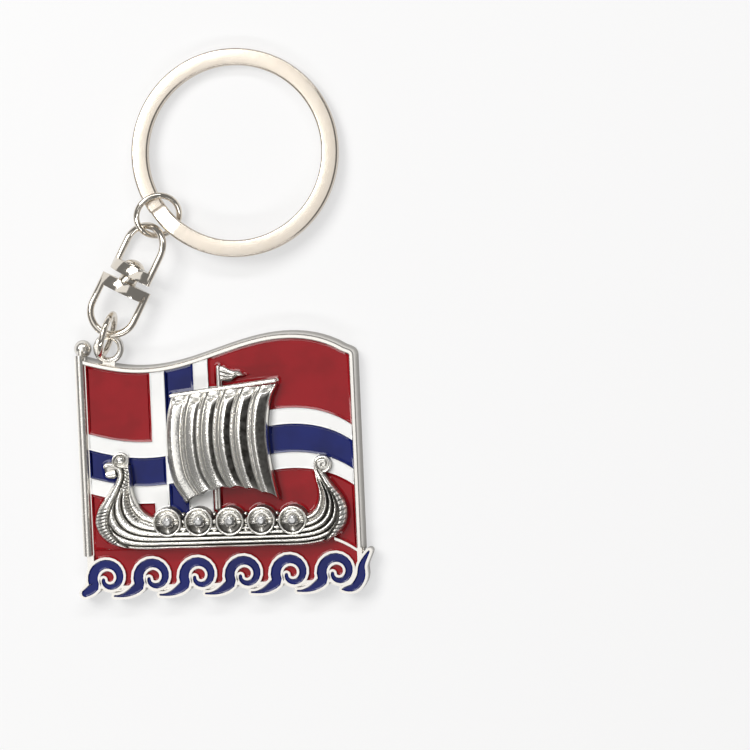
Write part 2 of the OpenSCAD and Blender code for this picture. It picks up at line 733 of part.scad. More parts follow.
module longship() {
    color(silver) difference() {
        union() {
            difference() {
                union() {
                    difference() {
                        hull_planks();
                        // the planks don't run through the shields' dishes
                        for (i = [0:shields - 1]) translate([shield_at(i).x, shield_at(i).y, dish_z - 0.1])
                            cylinder(r = shield_r - 0.2, h = 3, $fn = 20);
                    }
                    sail();
                    dragon_head();
                    stern_scroll();
                    yard_and_mast();
                    pennant();
                    for (i = [0:shields - 1]) shield(i);
                    for (i = [0:shields - 2]) beads((shield_at(i) + shield_at(i + 1)) / 2);
                }
                // one level cut: the ship stands on the recess's floor
                translate([-30, -30, floor_z - 5]) cube([60, 60, 5]);
            }
            for (s = pegs) translate([s.x, s.y, floor_z - peg_h])
                cylinder(r = peg_r, h = peg_h + 0.4, $fn = 24);
        }
        for (i = [0:shields - 1]) translate([shield_at(i).x, shield_at(i).y, stone_z - stone_h - stone_fit])
            cylinder(r = seat_r, h = stone_h + 0.1, $fn = 24);
    }
}

// Two small beads fill the corners between two shields
module beads(c) {
    for (s = [-1.35, 0.85]) translate([c.x, c.y + s, plate_t + 0.9]) sphere(r = 0.45, $fn = 10);
}

module pennant() {
    translate([0, 0, deep_z]) linear_extrude(ship_h + 0.6) polygon(pennant_outline());
}

module yard_and_mast() {
    z = plate_t + sail_edge + 0.5 - deep_z;
    translate([yard_l.x, yard_l.y, deep_z]) rotate([0, 0, yard_a]) hull() for (x = [0, yard_len])
        translate([x, 0, 0]) {
            cylinder(d = yard_d, h = z, $fn = 16);
            translate([0, 0, z]) sphere(d = yard_d, $fn = 16);
        }
    hull() for (y = [yard_l.y, mast_top - mast_w / 2])
        translate([mast_x, y, deep_z]) cylinder(d = mast_w, h = ship_h + 0.8, $fn = 16);
    translate([low_mast_x - low_mast_w / 2, shield_y, deep_z]) cube([low_mast_w, 5.2, ship_h + 0.4]);
}

// ---------- chain ----------

// A wire bent round to a ring, with its two ends butted
module wire_ring(r, d, seam_at) {
    rotate([0, 0, seam_at + jump_seam / 2]) rotate_extrude(angle = 360 - jump_seam, $fn = 96)
        translate([r, 0]) circle(d = d, $fn = 32);
}

// The lower jump ring stands on edge, under the lug's far wire and through its hole
thread_at = -0.4;                                       // where it threads the lug's hole
lower_z = lower_jump_r + jump_d / 2 + 0.026;
lower_dir = [sin(lower_jump_turn), cos(lower_jump_turn), 0];
lower_side = [cos(lower_jump_turn), -sin(lower_jump_turn), 0];
lower_reach = sqrt(pow(lower_jump_r, 2) - pow(lower_z - lug_z, 2)) + thread_at;
lower_at = [lug_x, lug_y, 0] + lower_dir * lower_reach - lower_side * 0.379 + [0, 0, lower_z];

module lower_jump_ring() {
    color(nickel) translate(lower_at) rotate([0, 0, -lower_jump_turn]) rotate([0, -1.36, 0])
        rotate([0, 90, 0]) wire_ring(lower_jump_r, jump_d, 150);
}

// The swivel's axis, its middle and the tips of its two bails
axis_dir = [sin(swivel_turn) * cos(swivel_slope), cos(swivel_turn) * cos(swivel_slope), -sin(swivel_slope)];
half_len = base_gap / 2 + base_t + bail_reach - bail_d / 2;
lower_tip = lower_at + [-0.6413, 0.4157, -0.3003];   // it rests on the lug's wire
swivel_at = lower_tip + axis_dir * half_len;
upper_tip = swivel_at + axis_dir * half_len;

module on_axis(turn = 0) {
    translate(swivel_at) rotate([0, 0, -swivel_turn]) rotate([-swivel_slope, 0, 0]) rotate([0, -turn, 0])
        children();
}

bail_r = (bail_w - bail_d) / 2;

// A bail: a lens-shaped base and one bent wire. Its base starts at y = base_gap / 2.
module bail(bore) {
    leg = bail_reach - bail_d / 2 - bail_r;
    lens_r = (pow(bail_w / 2, 2) + pow(base_depth / 2, 2)) / base_depth;
    translate([0, base_gap / 2, 0]) difference() {
        union() {
            rotate([-90, 0, 0]) linear_extrude(base_t) intersection() {
                translate([0, lens_r - base_depth / 2]) circle(r = lens_r, $fn = 96);
                translate([0, base_depth / 2 - lens_r]) circle(r = lens_r, $fn = 96);
                square([bail_w - 0.3, base_depth + 1], center = true);
            }
            for (s = [-1, 1]) translate([s * bail_r, 0, 0])
                rotate([-90, 0, 0]) cylinder(d = bail_d, h = base_t + leg, $fn = 32);
            translate([0, base_t + leg, 0]) rotate_extrude(angle = 180, $fn = 96)
                translate([bail_r, 0]) circle(d = bail_d, $fn = 32);
        }
        translate([0, -1, 0]) rotate([-90, 0, 0]) cylinder(r = bore, h = base_t + 2, $fn = 48);
    }
}

module lower_bail() {
    color(nickel) on_axis() mirror([0, 1, 0]) bail(rivet_d / 2);
}

module upper_bail() {
    color(nickel) on_axis(bail_turn) bail(rivet_d / 2 + rivet_play);
}

// The rivet: pressed into the lower base, it holds the upper one between collar and head
module swivel_rivet() {
    dome_r = (pow(rivet_head_d / 2, 2) + pow(rivet_head_h, 2)) / (2 * rivet_head_h);
    top = base_gap / 2 + base_t + rivet_play;
    color(nickel) on_axis() rotate([-90, 0, 0]) {
        translate([0, 0, -base_gap / 2 - base_t])
            cylinder(d = rivet_d, h = base_gap + 2 * base_t + rivet_play + eps, $fn = 48);
        translate([0, 0, -base_gap / 2]) cylinder(d = rivet_d + 1.2, h = base_gap - rivet_play, $fn = 48);
        translate([0, 0, top]) intersection() {
            translate([0, 0, rivet_head_h - dome_r]) sphere(r = dome_r, $fn = 96);
            cylinder(d = rivet_head_d, h = rivet_head_h, $fn = 72);
        }
    }
}

upper_at = upper_tip + [0.7758, 1.7601, 0.0747];

module upper_jump_ring() {
    color(nickel) translate(upper_at) rotate([0, 0, upper_jump_dir]) rotate([0, upper_jump_slope, 0])
        wire_ring(upper_jump_r, jump_d, 100);
}

// The split ring: one flat wire wound twice round, with a joggle between the layers
band_mid_r = (ring_od - band_w) / 2;
ring_z = (2 * layer_t + layer_gap) / 2 + ring_od / 2 * sin(ring_slope) + 0.125;
ring_from_jump = 36.6;                       // direction of the ring's middle from the jump ring
ring_flat = band_mid_r + 0.58;
ring_at = [upper_at.x + ring_flat * cos(ring_from_jump),
           upper_at.y + ring_flat * sin(ring_from_jump), ring_z];
joggle_a = 213;                              // the free end of the top layer
joggle_b = 230;                              // the free end of the bottom layer

function band_profile(shrink = 0) =
    let (w = band_w / 2 - shrink, h = layer_t / 2 - shrink, r = band_round)
    [for (q = [[1, 1, 0], [-1, 1, 90], [-1, -1, 180], [1, -1, 270]]) for (a = [0:30:90])
        [q[0] * (w - r) + r * cos(q[2] + a), q[1] * (h - r) + r * sin(q[2] + a)]];

module layer(from, sweep, z) {
    translate([0, 0, z]) rotate([0, 0, from]) rotate_extrude(angle = sweep, $fn = 180)
        translate([band_mid_r, 0]) polygon(band_profile());
}

module joggle(a0, a1, z0, z1) {
    n = 12;
    P = band_profile(0.008);
    k = len(P);
    pts = [for (i = [0:n]) let (t = i / n, a = mix(a0, a1, t), z = mix(z0, z1, smooth(mix(-0.12, 1.12, t))))
           for (p = P) [(band_mid_r + p.x) * cos(a), (band_mid_r + p.x) * sin(a), z + p.y]];
    sides = [for (i = [0:n - 1]) for (j = [0:k - 1]) let (l = (j + 1) % k)
             [i * k + j, i * k + l, (i + 1) * k + l, (i + 1) * k + j]];
    polyhedron(pts, concat([[for (j = [k - 1:-1:0]) j]], sides,
                           [[for (j = [0:k - 1]) n * k + j]]), convexity = 6);
}

module split_ring() {
    lift = (layer_t + layer_gap) / 2;
    color(nickel) translate(ring_at) rotate([0, 0, ring_dir]) rotate([0, ring_slope, 0])
        rotate([0, 0, -ring_dir]) {
            layer(joggle_b, 360 - (joggle_b - joggle_a) - 0.4, lift);
            layer(joggle_b + 0.4, 360 - (joggle_b - joggle_a) - 0.4, -lift);
            joggle(joggle_a - 0.9, joggle_b + 0.9, -lift, lift);
        }
}

flag_casting();
longship();
canton_red();
fly_red_upper();
hoist_red_lower();
small_red_lower();
midship_red();
fly_red_lower();
band_red();
cross_white();
top_blue();
hoist_blue();
inner_blue();
foot_blue();
fly_blue();
for (i = [0:shields - 1]) crystal(i);
for (i = [0:scrolls - 1]) wave_blue(i);
crest_blue();
lower_jump_ring();
lower_bail();
swivel_rivet();
upper_bail();
upper_jump_ring();
split_ring();
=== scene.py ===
# %% [markdown]
# # A keychain with an enamelled flag and a longship
# The pendant is a zinc casting with an antiqued silver plating. Soft enamel fills its recess, and
# a second casting, the longship, stands out of the colours. Polished nickel rings and a swivel
# join it to a split ring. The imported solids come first, because every finer piece rides on one.

# %% Load the frame
import math

import bmesh
import bpy
import numpy as np
from mathutils import Matrix, Quaternion, Vector


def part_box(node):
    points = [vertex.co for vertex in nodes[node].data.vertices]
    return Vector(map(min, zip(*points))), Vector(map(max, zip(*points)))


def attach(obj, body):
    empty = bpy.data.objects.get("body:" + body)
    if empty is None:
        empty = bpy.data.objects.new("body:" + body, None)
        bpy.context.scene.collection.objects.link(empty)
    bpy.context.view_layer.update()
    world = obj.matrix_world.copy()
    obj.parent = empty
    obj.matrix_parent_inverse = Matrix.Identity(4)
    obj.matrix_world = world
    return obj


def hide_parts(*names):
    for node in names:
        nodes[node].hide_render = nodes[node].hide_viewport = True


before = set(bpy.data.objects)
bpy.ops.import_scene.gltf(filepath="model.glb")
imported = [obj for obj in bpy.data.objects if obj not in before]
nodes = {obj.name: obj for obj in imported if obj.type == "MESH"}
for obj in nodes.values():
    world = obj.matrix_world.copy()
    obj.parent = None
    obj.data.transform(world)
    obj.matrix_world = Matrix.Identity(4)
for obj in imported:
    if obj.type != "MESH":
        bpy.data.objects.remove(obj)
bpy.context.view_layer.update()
MM = 0.001

# %% [markdown]
# ## Camera
# A small object looks true from far off through a long lens; a short lens close by would swell its
# near parts. The camera stands almost straight above, a little to the right. It is set upright
# first and then rolled by a few degrees, because aiming alone would leave the roll to chance.

# %% Camera
LENS, SENSOR = 180.0, 36.0
FIELD = 114.4 * MM                 # width of the view at the pendant's face
AIM = Vector((24.75, 14.45, 3.0)) * MM
TOWARDS = Vector((0.13, 0.05, 0.99)).normalized()
ROLL = math.radians(2.45)

camera = bpy.data.objects.new("camera", bpy.data.cameras.new("camera"))
bpy.context.collection.objects.link(camera)
camera.data.lens, camera.data.sensor_width = LENS, SENSOR
camera.location = AIM + TOWARDS * (FIELD * LENS / SENSOR)
camera.rotation_mode = "QUATERNION"
right = Vector((0, 1, 0)).cross(TOWARDS).normalized()
upright = Matrix((right, TOWARDS.cross(right), TOWARDS)).transposed().to_quaternion()
camera.rotation_quaternion = upright @ Quaternion((0, 0, 1), -ROLL)
camera.data.clip_start, camera.data.clip_end = 0.01, 20
bpy.context.scene.camera = camera
print("camera", [round(v, 3) for v in camera.location])

# %% [markdown]
# ## A small language for materials
# A material is a tree of nodes. To keep it readable, one class wraps a socket and turns sums into
# Math nodes, and one method makes any other node from its type, its settings and its inputs.

# %% Sockets that can be added and multiplied
class Wire:
    def __init__(self, paint, socket):
        self.paint, self.socket = paint, socket

    def math(self, operation, a, b, clamp=False):
        return self.paint.node("Math", {"operation": operation, "use_clamp": clamp}, {0: a, 1: b})

    def __add__(self, other):
        return self.math("ADD", self, other)

    def __radd__(self, other):
        return self.math("ADD", other, self)

    def __sub__(self, other):
        return self.math("SUBTRACT", self, other)

    def __rsub__(self, other):
        return self.math("SUBTRACT", other, self)

    def __mul__(self, other):
        return self.math("MULTIPLY", self, other)

    def __rmul__(self, other):
        return self.math("MULTIPLY", other, self)

    def clamp(self):
        return self.math("ADD", self, 0.0, clamp=True)

    def ramp(self, low, high):
        settings = {"interpolation_type": "SMOOTHSTEP", "clamp": True}
        return self.paint.node("MapRange", settings, {0: self, 1: low, 2: high})

# %% A material as a tree of nodes
class Paint:
    def __init__(self, name, world=False):
        self.block = (bpy.data.worlds if world else bpy.data.materials).new(name)
        self.block.use_nodes = True
        self.tree = self.block.node_tree
        self.tree.nodes.clear()

    def node(self, kind, settings=None, inputs=None, out=0):
        made = self.tree.nodes.new("ShaderNode" + kind)
        for key, value in (settings or {}).items():
            setattr(made, key, value)
        for key, value in (inputs or {}).items():
            if isinstance(value, Wire):
                self.tree.links.new(value.socket, made.inputs[key])
            else:
                made.inputs[key].default_value = value
        return Wire(self, made.outputs[out]) if made.outputs else made

    def noise(self, size_mm, detail, stretch=(1, 1, 1)):
        own = self.node("TexCoord", out="Object")
        place = self.node("Mapping", inputs={"Vector": own, "Scale": stretch})
        return self.node("TexNoise", inputs={"Vector": place, "Scale": 1 / (size_mm * MM),
                                             "Detail": detail})

    def mix(self, amount, first, second):
        return self.node("Mix", {"data_type": "RGBA"}, {0: amount, 6: first, 7: second}, out=2)

    def bump(self, height, depth_mm):
        return self.node("Bump", inputs={"Height": height, "Distance": depth_mm * MM})

    def surface(self, **inputs):
        named = {key.replace("_", " "): value for key, value in inputs.items()}
        shader = self.node("BsdfPrincipled", inputs=named)
        self.node("OutputMaterial", inputs={"Surface": shader})
        print("material", self.block.name)
        return self.block


def rgb(r, g, b):
    return (r, g, b, 1.0)


print("material language ready")

# %% [markdown]
# ## Antiqued silver
# The casting is plated, dipped in a black patina and wiped, so the high places are bright and the
# low ones stay dark. A mask worked out while rendering would be lost in an exported file, so each
# finer mesh carries a number at its points: how much patina is left there and, on some pieces, how
# much shade is painted.

# %% Antiqued silver for the ship
BRIGHT_SILVER, PATINA = rgb(0.90, 0.88, 0.83), rgb(0.040, 0.037, 0.032)
STAIN_MM, BRUSH_MM, BRUSH_LONG = 0.9, 0.12, (1, 0.22, 1)


def antique_silver():
    p = Paint("antique_silver")
    # the number at each point holds patina and, on the hull, sail, spars, shields and scroll,
    # painted shade
    patina_and_shade = p.node("Attribute", {"attribute_name": "patina_and_shade"}, out="Fac")
    cloud = p.noise(STAIN_MM, 3.0)
    grain = p.noise(BRUSH_MM, 2.0, BRUSH_LONG)
    left = (patina_and_shade + (cloud - 0.5) * 0.35 * patina_and_shade.ramp(0.02, 0.3)).clamp()
    colour = p.mix(left, BRIGHT_SILVER, PATINA)
    rough = (0.25 + left * 0.26 + (grain - 0.5) * 0.05).clamp()
    skin = p.bump(cloud * 0.7 + grain * left * 0.5, 0.022)
    return p.surface(Base_Color=colour, Metallic=1.0, Roughness=rough, Normal=skin)


silver = antique_silver()

# %% [markdown]
# The flag's casting has no soot numbers, because its solid is used as it is. Its patina follows
# the height and the direction of each face: the rim's top is wiped clean, low walls stay dark.

# %% Plated casting
FACE_SILVER, WALL_SILVER = rgb(0.84, 0.81, 0.76), rgb(0.10, 0.09, 0.08)
DARK_BELOW, CLEAN_ABOVE = 1.0 * MM, 2.9 * MM


def casting_silver():
    p = Paint("casting_silver")
    own = p.node("TexCoord", out="Object")
    height = p.node("SeparateXYZ", inputs={0: own}, out="Z")
    facing = p.node("SeparateXYZ", inputs={0: p.node("TexCoord", out="Normal")}, out="Z")
    cloud, grain = p.noise(1.1, 3.0), p.noise(0.1, 2.0)
    side = 1 - facing.ramp(0.25, 0.7)
    low = 1 - height.ramp(DARK_BELOW, CLEAN_ABOVE)
    patina_and_shade = (side * (0.16 + low * 0.5) + (cloud - 0.5) * 0.12).clamp()
    colour = p.mix(patina_and_shade, FACE_SILVER, WALL_SILVER)
    rough = (0.26 + patina_and_shade * 0.25 + (grain - 0.5) * 0.08).clamp()
    return p.surface(Base_Color=colour, Metallic=1.0, Roughness=rough,
                     Normal=p.bump(cloud * 0.8 + grain * 0.25, 0.02))


casting = casting_silver()

# %% [markdown]
# ## Polished nickel
# The chain is bright nickel over steel wire. Wire is drawn smooth and then tumbled, so it keeps a
# mirror finish with very small dents. The flat band of the split ring is rolled, and its faces are
# satin from the rolls, so both come from one recipe with a different share of fine streaks.

# %% Nickel
TARNISH = (0.94, 0.92, 0.88)
DENT_MM, STREAK_MM, STREAK_LONG = 1.4, 0.16, (1, 0.12, 1)


def nickel(name, colour, roughness, dent, streak=0.0):
    p = Paint(name)
    cloud = p.noise(DENT_MM, 2.0)
    scratch = p.noise(STREAK_MM, 3.0, STREAK_LONG)
    tint = p.mix(cloud, colour, rgb(*[c * k for c, k in zip(colour, TARNISH)]))
    rough = (roughness + (cloud - 0.5) * 0.05 + (scratch - 0.5) * streak).clamp()
    return p.surface(Base_Color=tint, Metallic=1.0, Roughness=rough,
                     Normal=p.bump(cloud + scratch * streak, dent))


wire_nickel = nickel("wire_nickel", rgb(0.76, 0.71, 0.64), 0.11, 0.03)
band_nickel = nickel("band_nickel", rgb(0.66, 0.60, 0.53), 0.22, 0.012, 0.10)

# %% [markdown]
# ## Soft enamel
# Enamel is coloured resin, poured into the recess and baked. It has a hard gloss, a little depth
# and a surface that waves very slightly, which is why its reflections bend. A plain glossy plastic
# would reflect too evenly, so the tone, the gloss and the bump each follow a noise.

# %% Enamel
WAVE_MM, DUST_MM = 5.0, 0.35


def enamel(name, colour, shade, roughness=0.16):
    p = Paint(name)
    cloud, dust = p.noise(WAVE_MM, 2.0), p.noise(DUST_MM, 3.0)
    speck = dust.ramp(0.72, 0.8)
    tone = p.mix(cloud.ramp(0.35, 0.7), colour, shade)
    return p.surface(Base_Color=tone, Roughness=(roughness + speck * 0.2).clamp(), IOR=1.5,
                     Specular_IOR_Level=0.12, Coat_Weight=0.4, Coat_Roughness=0.05, Coat_IOR=1.5,
                     Normal=p.bump(cloud + speck * 0.05, 0.022))


red = enamel("red_enamel", rgb(0.29, 0.0035, 0.008), rgb(0.24, 0.003, 0.006))
blue = enamel("blue_enamel", rgb(0.0035, 0.010, 0.125), rgb(0.0025, 0.007, 0.095))
white = enamel("white_enamel", rgb(0.90, 0.90, 0.89), rgb(0.87, 0.87, 0.86), 0.25)

# %% [markdown]
# ## Building meshes
# Most pieces of the ship are sheets of points with a height at each, closed by walls down to the
# enamel. Working in millimetres keeps the numbers readable; one place turns them into metres.

# %% Mesh helpers
SHARP = math.radians(44)                 # two faces that turn by more meet in a crisp edge


def piece(name, points, faces, material, body="pendant",
          replaces=("longship",), patina_and_shade=None, flat=False):
    mesh = bpy.data.meshes.new(name)
    mesh.from_pydata([tuple(float(c) * MM for c in p) for p in points], [], faces)
    made = bpy.data.objects.new(name, mesh)
    bpy.context.collection.objects.link(made)
    if patina_and_shade is not None:
        mesh.attributes.new("patina_and_shade", "FLOAT", "POINT").data.foreach_set(
            "value", np.clip(np.asarray(patina_and_shade, dtype=np.float32).ravel(), 0, 1))
    work = bmesh.new()
    work.from_mesh(mesh)
    bmesh.ops.recalc_face_normals(work, faces=work.faces)
    work.to_mesh(mesh)
    work.free()
    if flat:
        mesh.shade_flat()
    else:
        mesh.shade_smooth()
        mesh.set_sharp_from_angle(angle=SHARP)
    mesh.materials.append(material)
    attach(made, body)
    if replaces:
        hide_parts(*replaces)
    return made

# %% Curves, soft steps and the faces of a grid
def spline(points, t):
    P = np.asarray(points, float)
    n = len(P) - 1
    s = np.clip(np.asarray(t, float), 0, 0.99999) * n
    i = np.floor(s).astype(int)
    f = (s - i)[..., None]
    a, b, c, d = P[np.maximum(i - 1, 0)], P[i], P[i + 1], P[np.minimum(i + 2, n)]
    return 0.5 * (2 * b + (c - a) * f + (2 * a - 5 * b + 4 * c - d) * f ** 2
                  + (3 * b - a - 3 * c + d) * f ** 3)


def smooth(t):
    c = np.clip(t, 0, 1)
    return c * c * (3 - 2 * c)


def mix(a, b, t):
    return a + (b - a) * t


def along(P):
    return np.concatenate([[0], np.cumsum(np.linalg.norm(np.diff(P, axis=0), axis=1))])


def grid_faces(m, n, close_rows=False, close_columns=False):
    rows = m if close_rows else m - 1
    columns = n if close_columns else n - 1
    return [(i * n + j, i * n + (j + 1) % n, (i + 1) % m * n + (j + 1) % n, (i + 1) % m * n + j)
            for i in range(rows) for j in range(columns)]


print("mesh helpers ready")

# %% [markdown]
# A relief is a sheet with walls. Its edge first turns down over a small shoulder, so that the
# light finds a rounded rim, and then goes straight to the ground, where the patina gathers.

# %% Walls round a sheet
SHOULDER, SHOULDER_SOOT, WALL_SOOT = 0.12, 0.25, 0.75


def relief(name, grid, foot, patina_and_shade):
    m, n = grid.shape[:2]
    edge = ([(0, j) for j in range(n)] + [(i, n - 1) for i in range(1, m)]
            + [(m - 1, j) for j in range(n - 2, -1, -1)] + [(i, 0) for i in range(m - 2, 0, -1)])
    points = list(grid.reshape(-1, 3))
    first = len(points)
    points += [(x, y, z - SHOULDER) for x, y, z in (grid[i, j] for i, j in edge)]
    points += [(x, y, foot) for x, y, _ in (grid[i, j] for i, j in edge)]
    k = len(edge)
    dark = list(patina_and_shade.ravel()) + [SHOULDER_SOOT] * k + [WALL_SOOT] * k
    faces = grid_faces(m, n)
    for a in range(k):
        b = (a + 1) % k
        ia, ib = edge[a][0] * n + edge[a][1], edge[b][0] * n + edge[b][1]
        faces.append((ia, ib, first + b, first + a))
        faces.append((first + a, first + b, first + k + b, first + k + a))
    return piece(name, points, faces, silver, patina_and_shade=dark)


print("relief ready")

# %% [markdown]
# ## Levels
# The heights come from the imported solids: the plate's rim, the floor of the recess and the tops of
# the colours. So the finer pieces stay on the frame if a thickness changes.

# %% Levels in millimetres
RIM_UP = 0.45                            # the rim stands this far above the red
RED_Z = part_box("canton_red")[1][2] / MM
WHITE_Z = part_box("cross_white")[1][2] / MM
FLOOR_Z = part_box("canton_red")[0][2] / MM
RIM_Z = RED_Z + RIM_UP
print("floor", round(FLOOR_Z, 2), "red", round(RED_Z, 2), "white", round(WHITE_Z, 2),
      "rim", round(RIM_Z, 2))

# %% [markdown]
# ## Enamel pools with a climbing edge
# Liquid enamel climbs a little up the metal round it and dries that way. A bevel would round the
# edge the wrong way, outwards. So each flat fill is copied, and a narrow concave strip is laid
# along every edge of its top face: highest at the metal and level at its inner side, where it
# catches a line of light.

# %% Outlines of a fill's top face
WELD = 0.002 * MM                        # points closer than this are one point
SHORTEST = 0.05                          # mm, shorter steps of an outline are left out


def outlines(work, top):
    faces = [f for f in work.faces
             if f.normal.z > 0.9 and f.calc_center_median().z > top - 0.01 * MM]
    region = set(faces)
    onward = {}
    for f in faces:
        for corner in f.loops:
            if sum(g in region for g in corner.edge.link_faces) == 1:
                onward.setdefault(corner.vert, []).append(corner.link_loop_next.vert)
    while onward:
        at, ring = next(iter(onward)), []
        while at in onward:
            ring.append((at.co.x / MM, at.co.y / MM))
            following = onward[at].pop()
            if not onward[at]:
                del onward[at]
            at = following
        P = np.array(ring)
        keep = np.linalg.norm(P - np.roll(P, 1, axis=0), axis=1) > SHORTEST
        if keep.sum() > 2:
            yield P[keep]


# %% The way into a pool from each point of its outline
SHALLOW, STRETCH = 0.2, 0.62             # limits that keep sharp corners from shooting out


def inward(P):
    ahead = np.roll(P, -1, axis=0) - P
    ahead /= np.linalg.norm(ahead, axis=1)[:, None]
    left = np.column_stack([-ahead[:, 1], ahead[:, 0]])
    both = left + np.roll(left, 1, axis=0)
    size = np.linalg.norm(both, axis=1)[:, None]
    return both / np.maximum(size, SHALLOW) / np.maximum(size / 2, STRETCH)


print("outlines ready")

# %% Pour one pool over a fill
STEPS = np.linspace(0, 1, 8)
LIP = np.interp(STEPS, [0, 0.7, 0.85, 1], [1, 0.14, 0.035, 0])
ABOVE = 0.004                            # mm, so that the strip never lies in the face below


def pool(node, material, slot, width, climb):
    work = bmesh.new()
    work.from_mesh(nodes[node].data)
    bmesh.ops.remove_doubles(work, verts=work.verts, dist=WELD)
    top = max(v.co.z for v in work.verts)
    for f in work.faces:
        f.normal_update()
        f.smooth = False
    for P in list(outlines(work, top)):
        reach = inward(P)
        rows = []
        for s, share in zip(STEPS, LIP):
            z = top + (climb * share + ABOVE) * MM
            rows.append([work.verts.new((x * MM, y * MM, z)) for x, y in P + reach * width * s])
        for near, far in zip(rows[:-1], rows[1:]):
            for k in range(len(P)):
                n = (k + 1) % len(P)
                work.faces.new((near[k], near[n], far[n], far[k])).smooth = True
    mesh = bpy.data.meshes.new(node + "_pool")
    work.to_mesh(mesh)
    work.free()
    made = bpy.data.objects.new(node + "_pool", mesh)
    bpy.context.collection.objects.link(made)
    mesh.materials.append(material)
    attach(made, "pendant")
    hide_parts(node)
    return made


# %% All colours of the flag
REDS = ("canton_red", "fly_red_upper", "hoist_red_lower", "small_red_lower", "midship_red",
        "fly_red_lower", "band_red")
BLUES = ("top_blue", "hoist_blue", "inner_blue", "foot_blue", "fly_blue", "crest_blue")
WAVES = tuple(name for name in nodes if name.startswith("wave_blue_"))
WHITES = ("cross_white",)
FINE = ("band_red", "small_red_lower", "crest_blue") + WAVES + WHITES
WIDE_LIP, NARROW_LIP = (0.46, 0.17), (0.26, 0.095)          # width and climb in mm
for names, material, slot in ((REDS, red, "red_enamel"), (BLUES + WAVES, blue, "blue_enamel"),
                              (WHITES, white, "white_enamel")):
    for name in names:
        pool(name, material, slot, *(NARROW_LIP if name in FINE else WIDE_LIP))
print("pools", len(REDS + BLUES + WAVES + WHITES))

# %% [markdown]
# ## Wire with worn edges
# A tumbled part has no knife edge. The links could be swept anew, but their solids already cross
# each other rightly, so each is copied and its flat faces are joined. Every edge that turns by
# more than a set angle then gets a small round bevel, which catches the light.

# %% Copy a solid and round its edges
FLAT, TURN = math.radians(0.6), math.radians(35)
WORN = 0.09                              # mm, width of the worn edge


def tumble(node, material, body, width):
    work = bmesh.new()
    work.from_mesh(nodes[node].data)
    bmesh.ops.remove_doubles(work, verts=work.verts, dist=WELD)
    bmesh.ops.dissolve_limit(work, angle_limit=FLAT, verts=work.verts, edges=work.edges)
    mesh = bpy.data.meshes.new(node + "_tumbled")
    work.to_mesh(mesh)
    work.free()
    made = bpy.data.objects.new(node + "_tumbled", mesh)
    bpy.context.collection.objects.link(made)
    mesh.shade_smooth()
    if width:
        bevel = made.modifiers.new("worn_edges", "BEVEL")
        bevel.width, bevel.segments = width * MM, 2
        bevel.limit_method, bevel.angle_limit = "ANGLE", TURN
        bevel.harden_normals = True
    else:
        mesh.set_sharp_from_angle(angle=TURN)
    mesh.materials.append(material)
    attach(made, body)
    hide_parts(node)
    return made


CHAIN = {"lower_jump_ring": "lower_jump", "lower_bail": "swivel_lower",
         "swivel_rivet": "swivel_lower", "upper_bail": "swivel_upper",
         "upper_jump_ring": "upper_jump"}
for name, body in CHAIN.items():         # a jump ring is round wire, with no edge to wear
    width = 0.0 if name.endswith("ring") else WORN
    tumble(name, wire_nickel, body, width)
print("chain", len(CHAIN))

# %% [markdown]
# ## The flag casting
# The plate with its rim, pole, lug and metal lines is cast in one. Its solid already has the shape
# of the real one, and a finer copy would only add points, so it stays and gets the plated finish.

# %% Finish the casting
data = nodes["flag_casting"].data
data.materials.clear()
data.materials.append(casting)
print("flag casting in", casting.name)

# %% [markdown]
# ## The split ring
# The split ring is one flat wire, wound twice round. Where its two ends lie, the wire steps from
# one layer to the other. A bevelled copy of the solid shades badly on that step, so the wire is
# swept anew along the same path, with flat faces and well rounded corners.

# %% Section and path of the flat wire
OUTSIDE, WIDE, THICK, LAYER = 16.0, 2.6, 0.8, 0.43
CORNER, CORNER_STEPS, SHRINK = 0.38, 8, 0.996
START, STEP = 213.9, 17.0                # degrees: where the step ends, and how long it is
FIRST_TURN, SECOND_TURN, GAP = 343, 342.2, 0.4
LEAN, LEAN_TOWARD = math.radians(3.5), math.radians(80.8)


def about_z(P, angle):
    c, d = math.cos(angle), math.sin(angle)
    return np.column_stack([P[:, 0] * c - P[:, 1] * d, P[:, 0] * d + P[:, 1] * c, P[:, 2]])


def about_y(P, angle):
    c, d = math.cos(angle), math.sin(angle)
    return np.column_stack([P[:, 0] * c + P[:, 2] * d, P[:, 1], -P[:, 0] * d + P[:, 2] * c])


# %% Sweep the flat wire
def split_ring():
    low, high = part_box("split_ring")
    middle = np.array([(a + b) / 2 for a, b in zip(low, high)]) / MM
    section = []
    for sx, sy, turn in ((1, 1, 0), (-1, 1, 90), (-1, -1, 180), (1, -1, 270)):
        for a in np.radians(np.linspace(0, 90, CORNER_STEPS) + turn):
            section.append((sx * (WIDE / 2 - CORNER) + CORNER * math.cos(a),
                            sy * (THICK / 2 - CORNER) + CORNER * math.sin(a)))
    section = np.array(section) * SHRINK
    angle = np.concatenate([np.linspace(-STEP - FIRST_TURN, -STEP - GAP, 230),
                            np.linspace(-STEP, 0, 24), np.linspace(GAP, SECOND_TURN, 230)])
    level = np.interp(angle, [-STEP, 0], [0, 1])
    mid = OUTSIDE - WIDE / 2
    points = []
    for a, s in zip(np.radians(angle + START + STEP), level):
        rise = mix(-LAYER, LAYER, smooth(s))
        for x, y in section:
            points.append(((mid + x) * math.cos(a), (mid + x) * math.sin(a), rise + y))
    P = about_z(about_y(about_z(np.array(points), -LEAN_TOWARD), LEAN), LEAN_TOWARD) + middle
    k, m = len(section), len(angle)
    faces = grid_faces(m, k, close_columns=True)
    faces += [tuple(range(k)), tuple((m - 1) * k + j for j in range(k))]
    return piece("split_ring_wire", P, faces, band_nickel, body="key_ring",
                 replaces=("split_ring",))


split_ring()
print("split ring")

# %% [markdown]
# ## The hull
# The hull could be built plank by plank, but it was cast as one skin. So it is carved as one
# sheet between the gunwale and the keel. A border of beads follows the stem and the stern, and
# the planks start behind it, each with its own pointed end. The grooves keep the patina, and the
# wiped planks are bright.

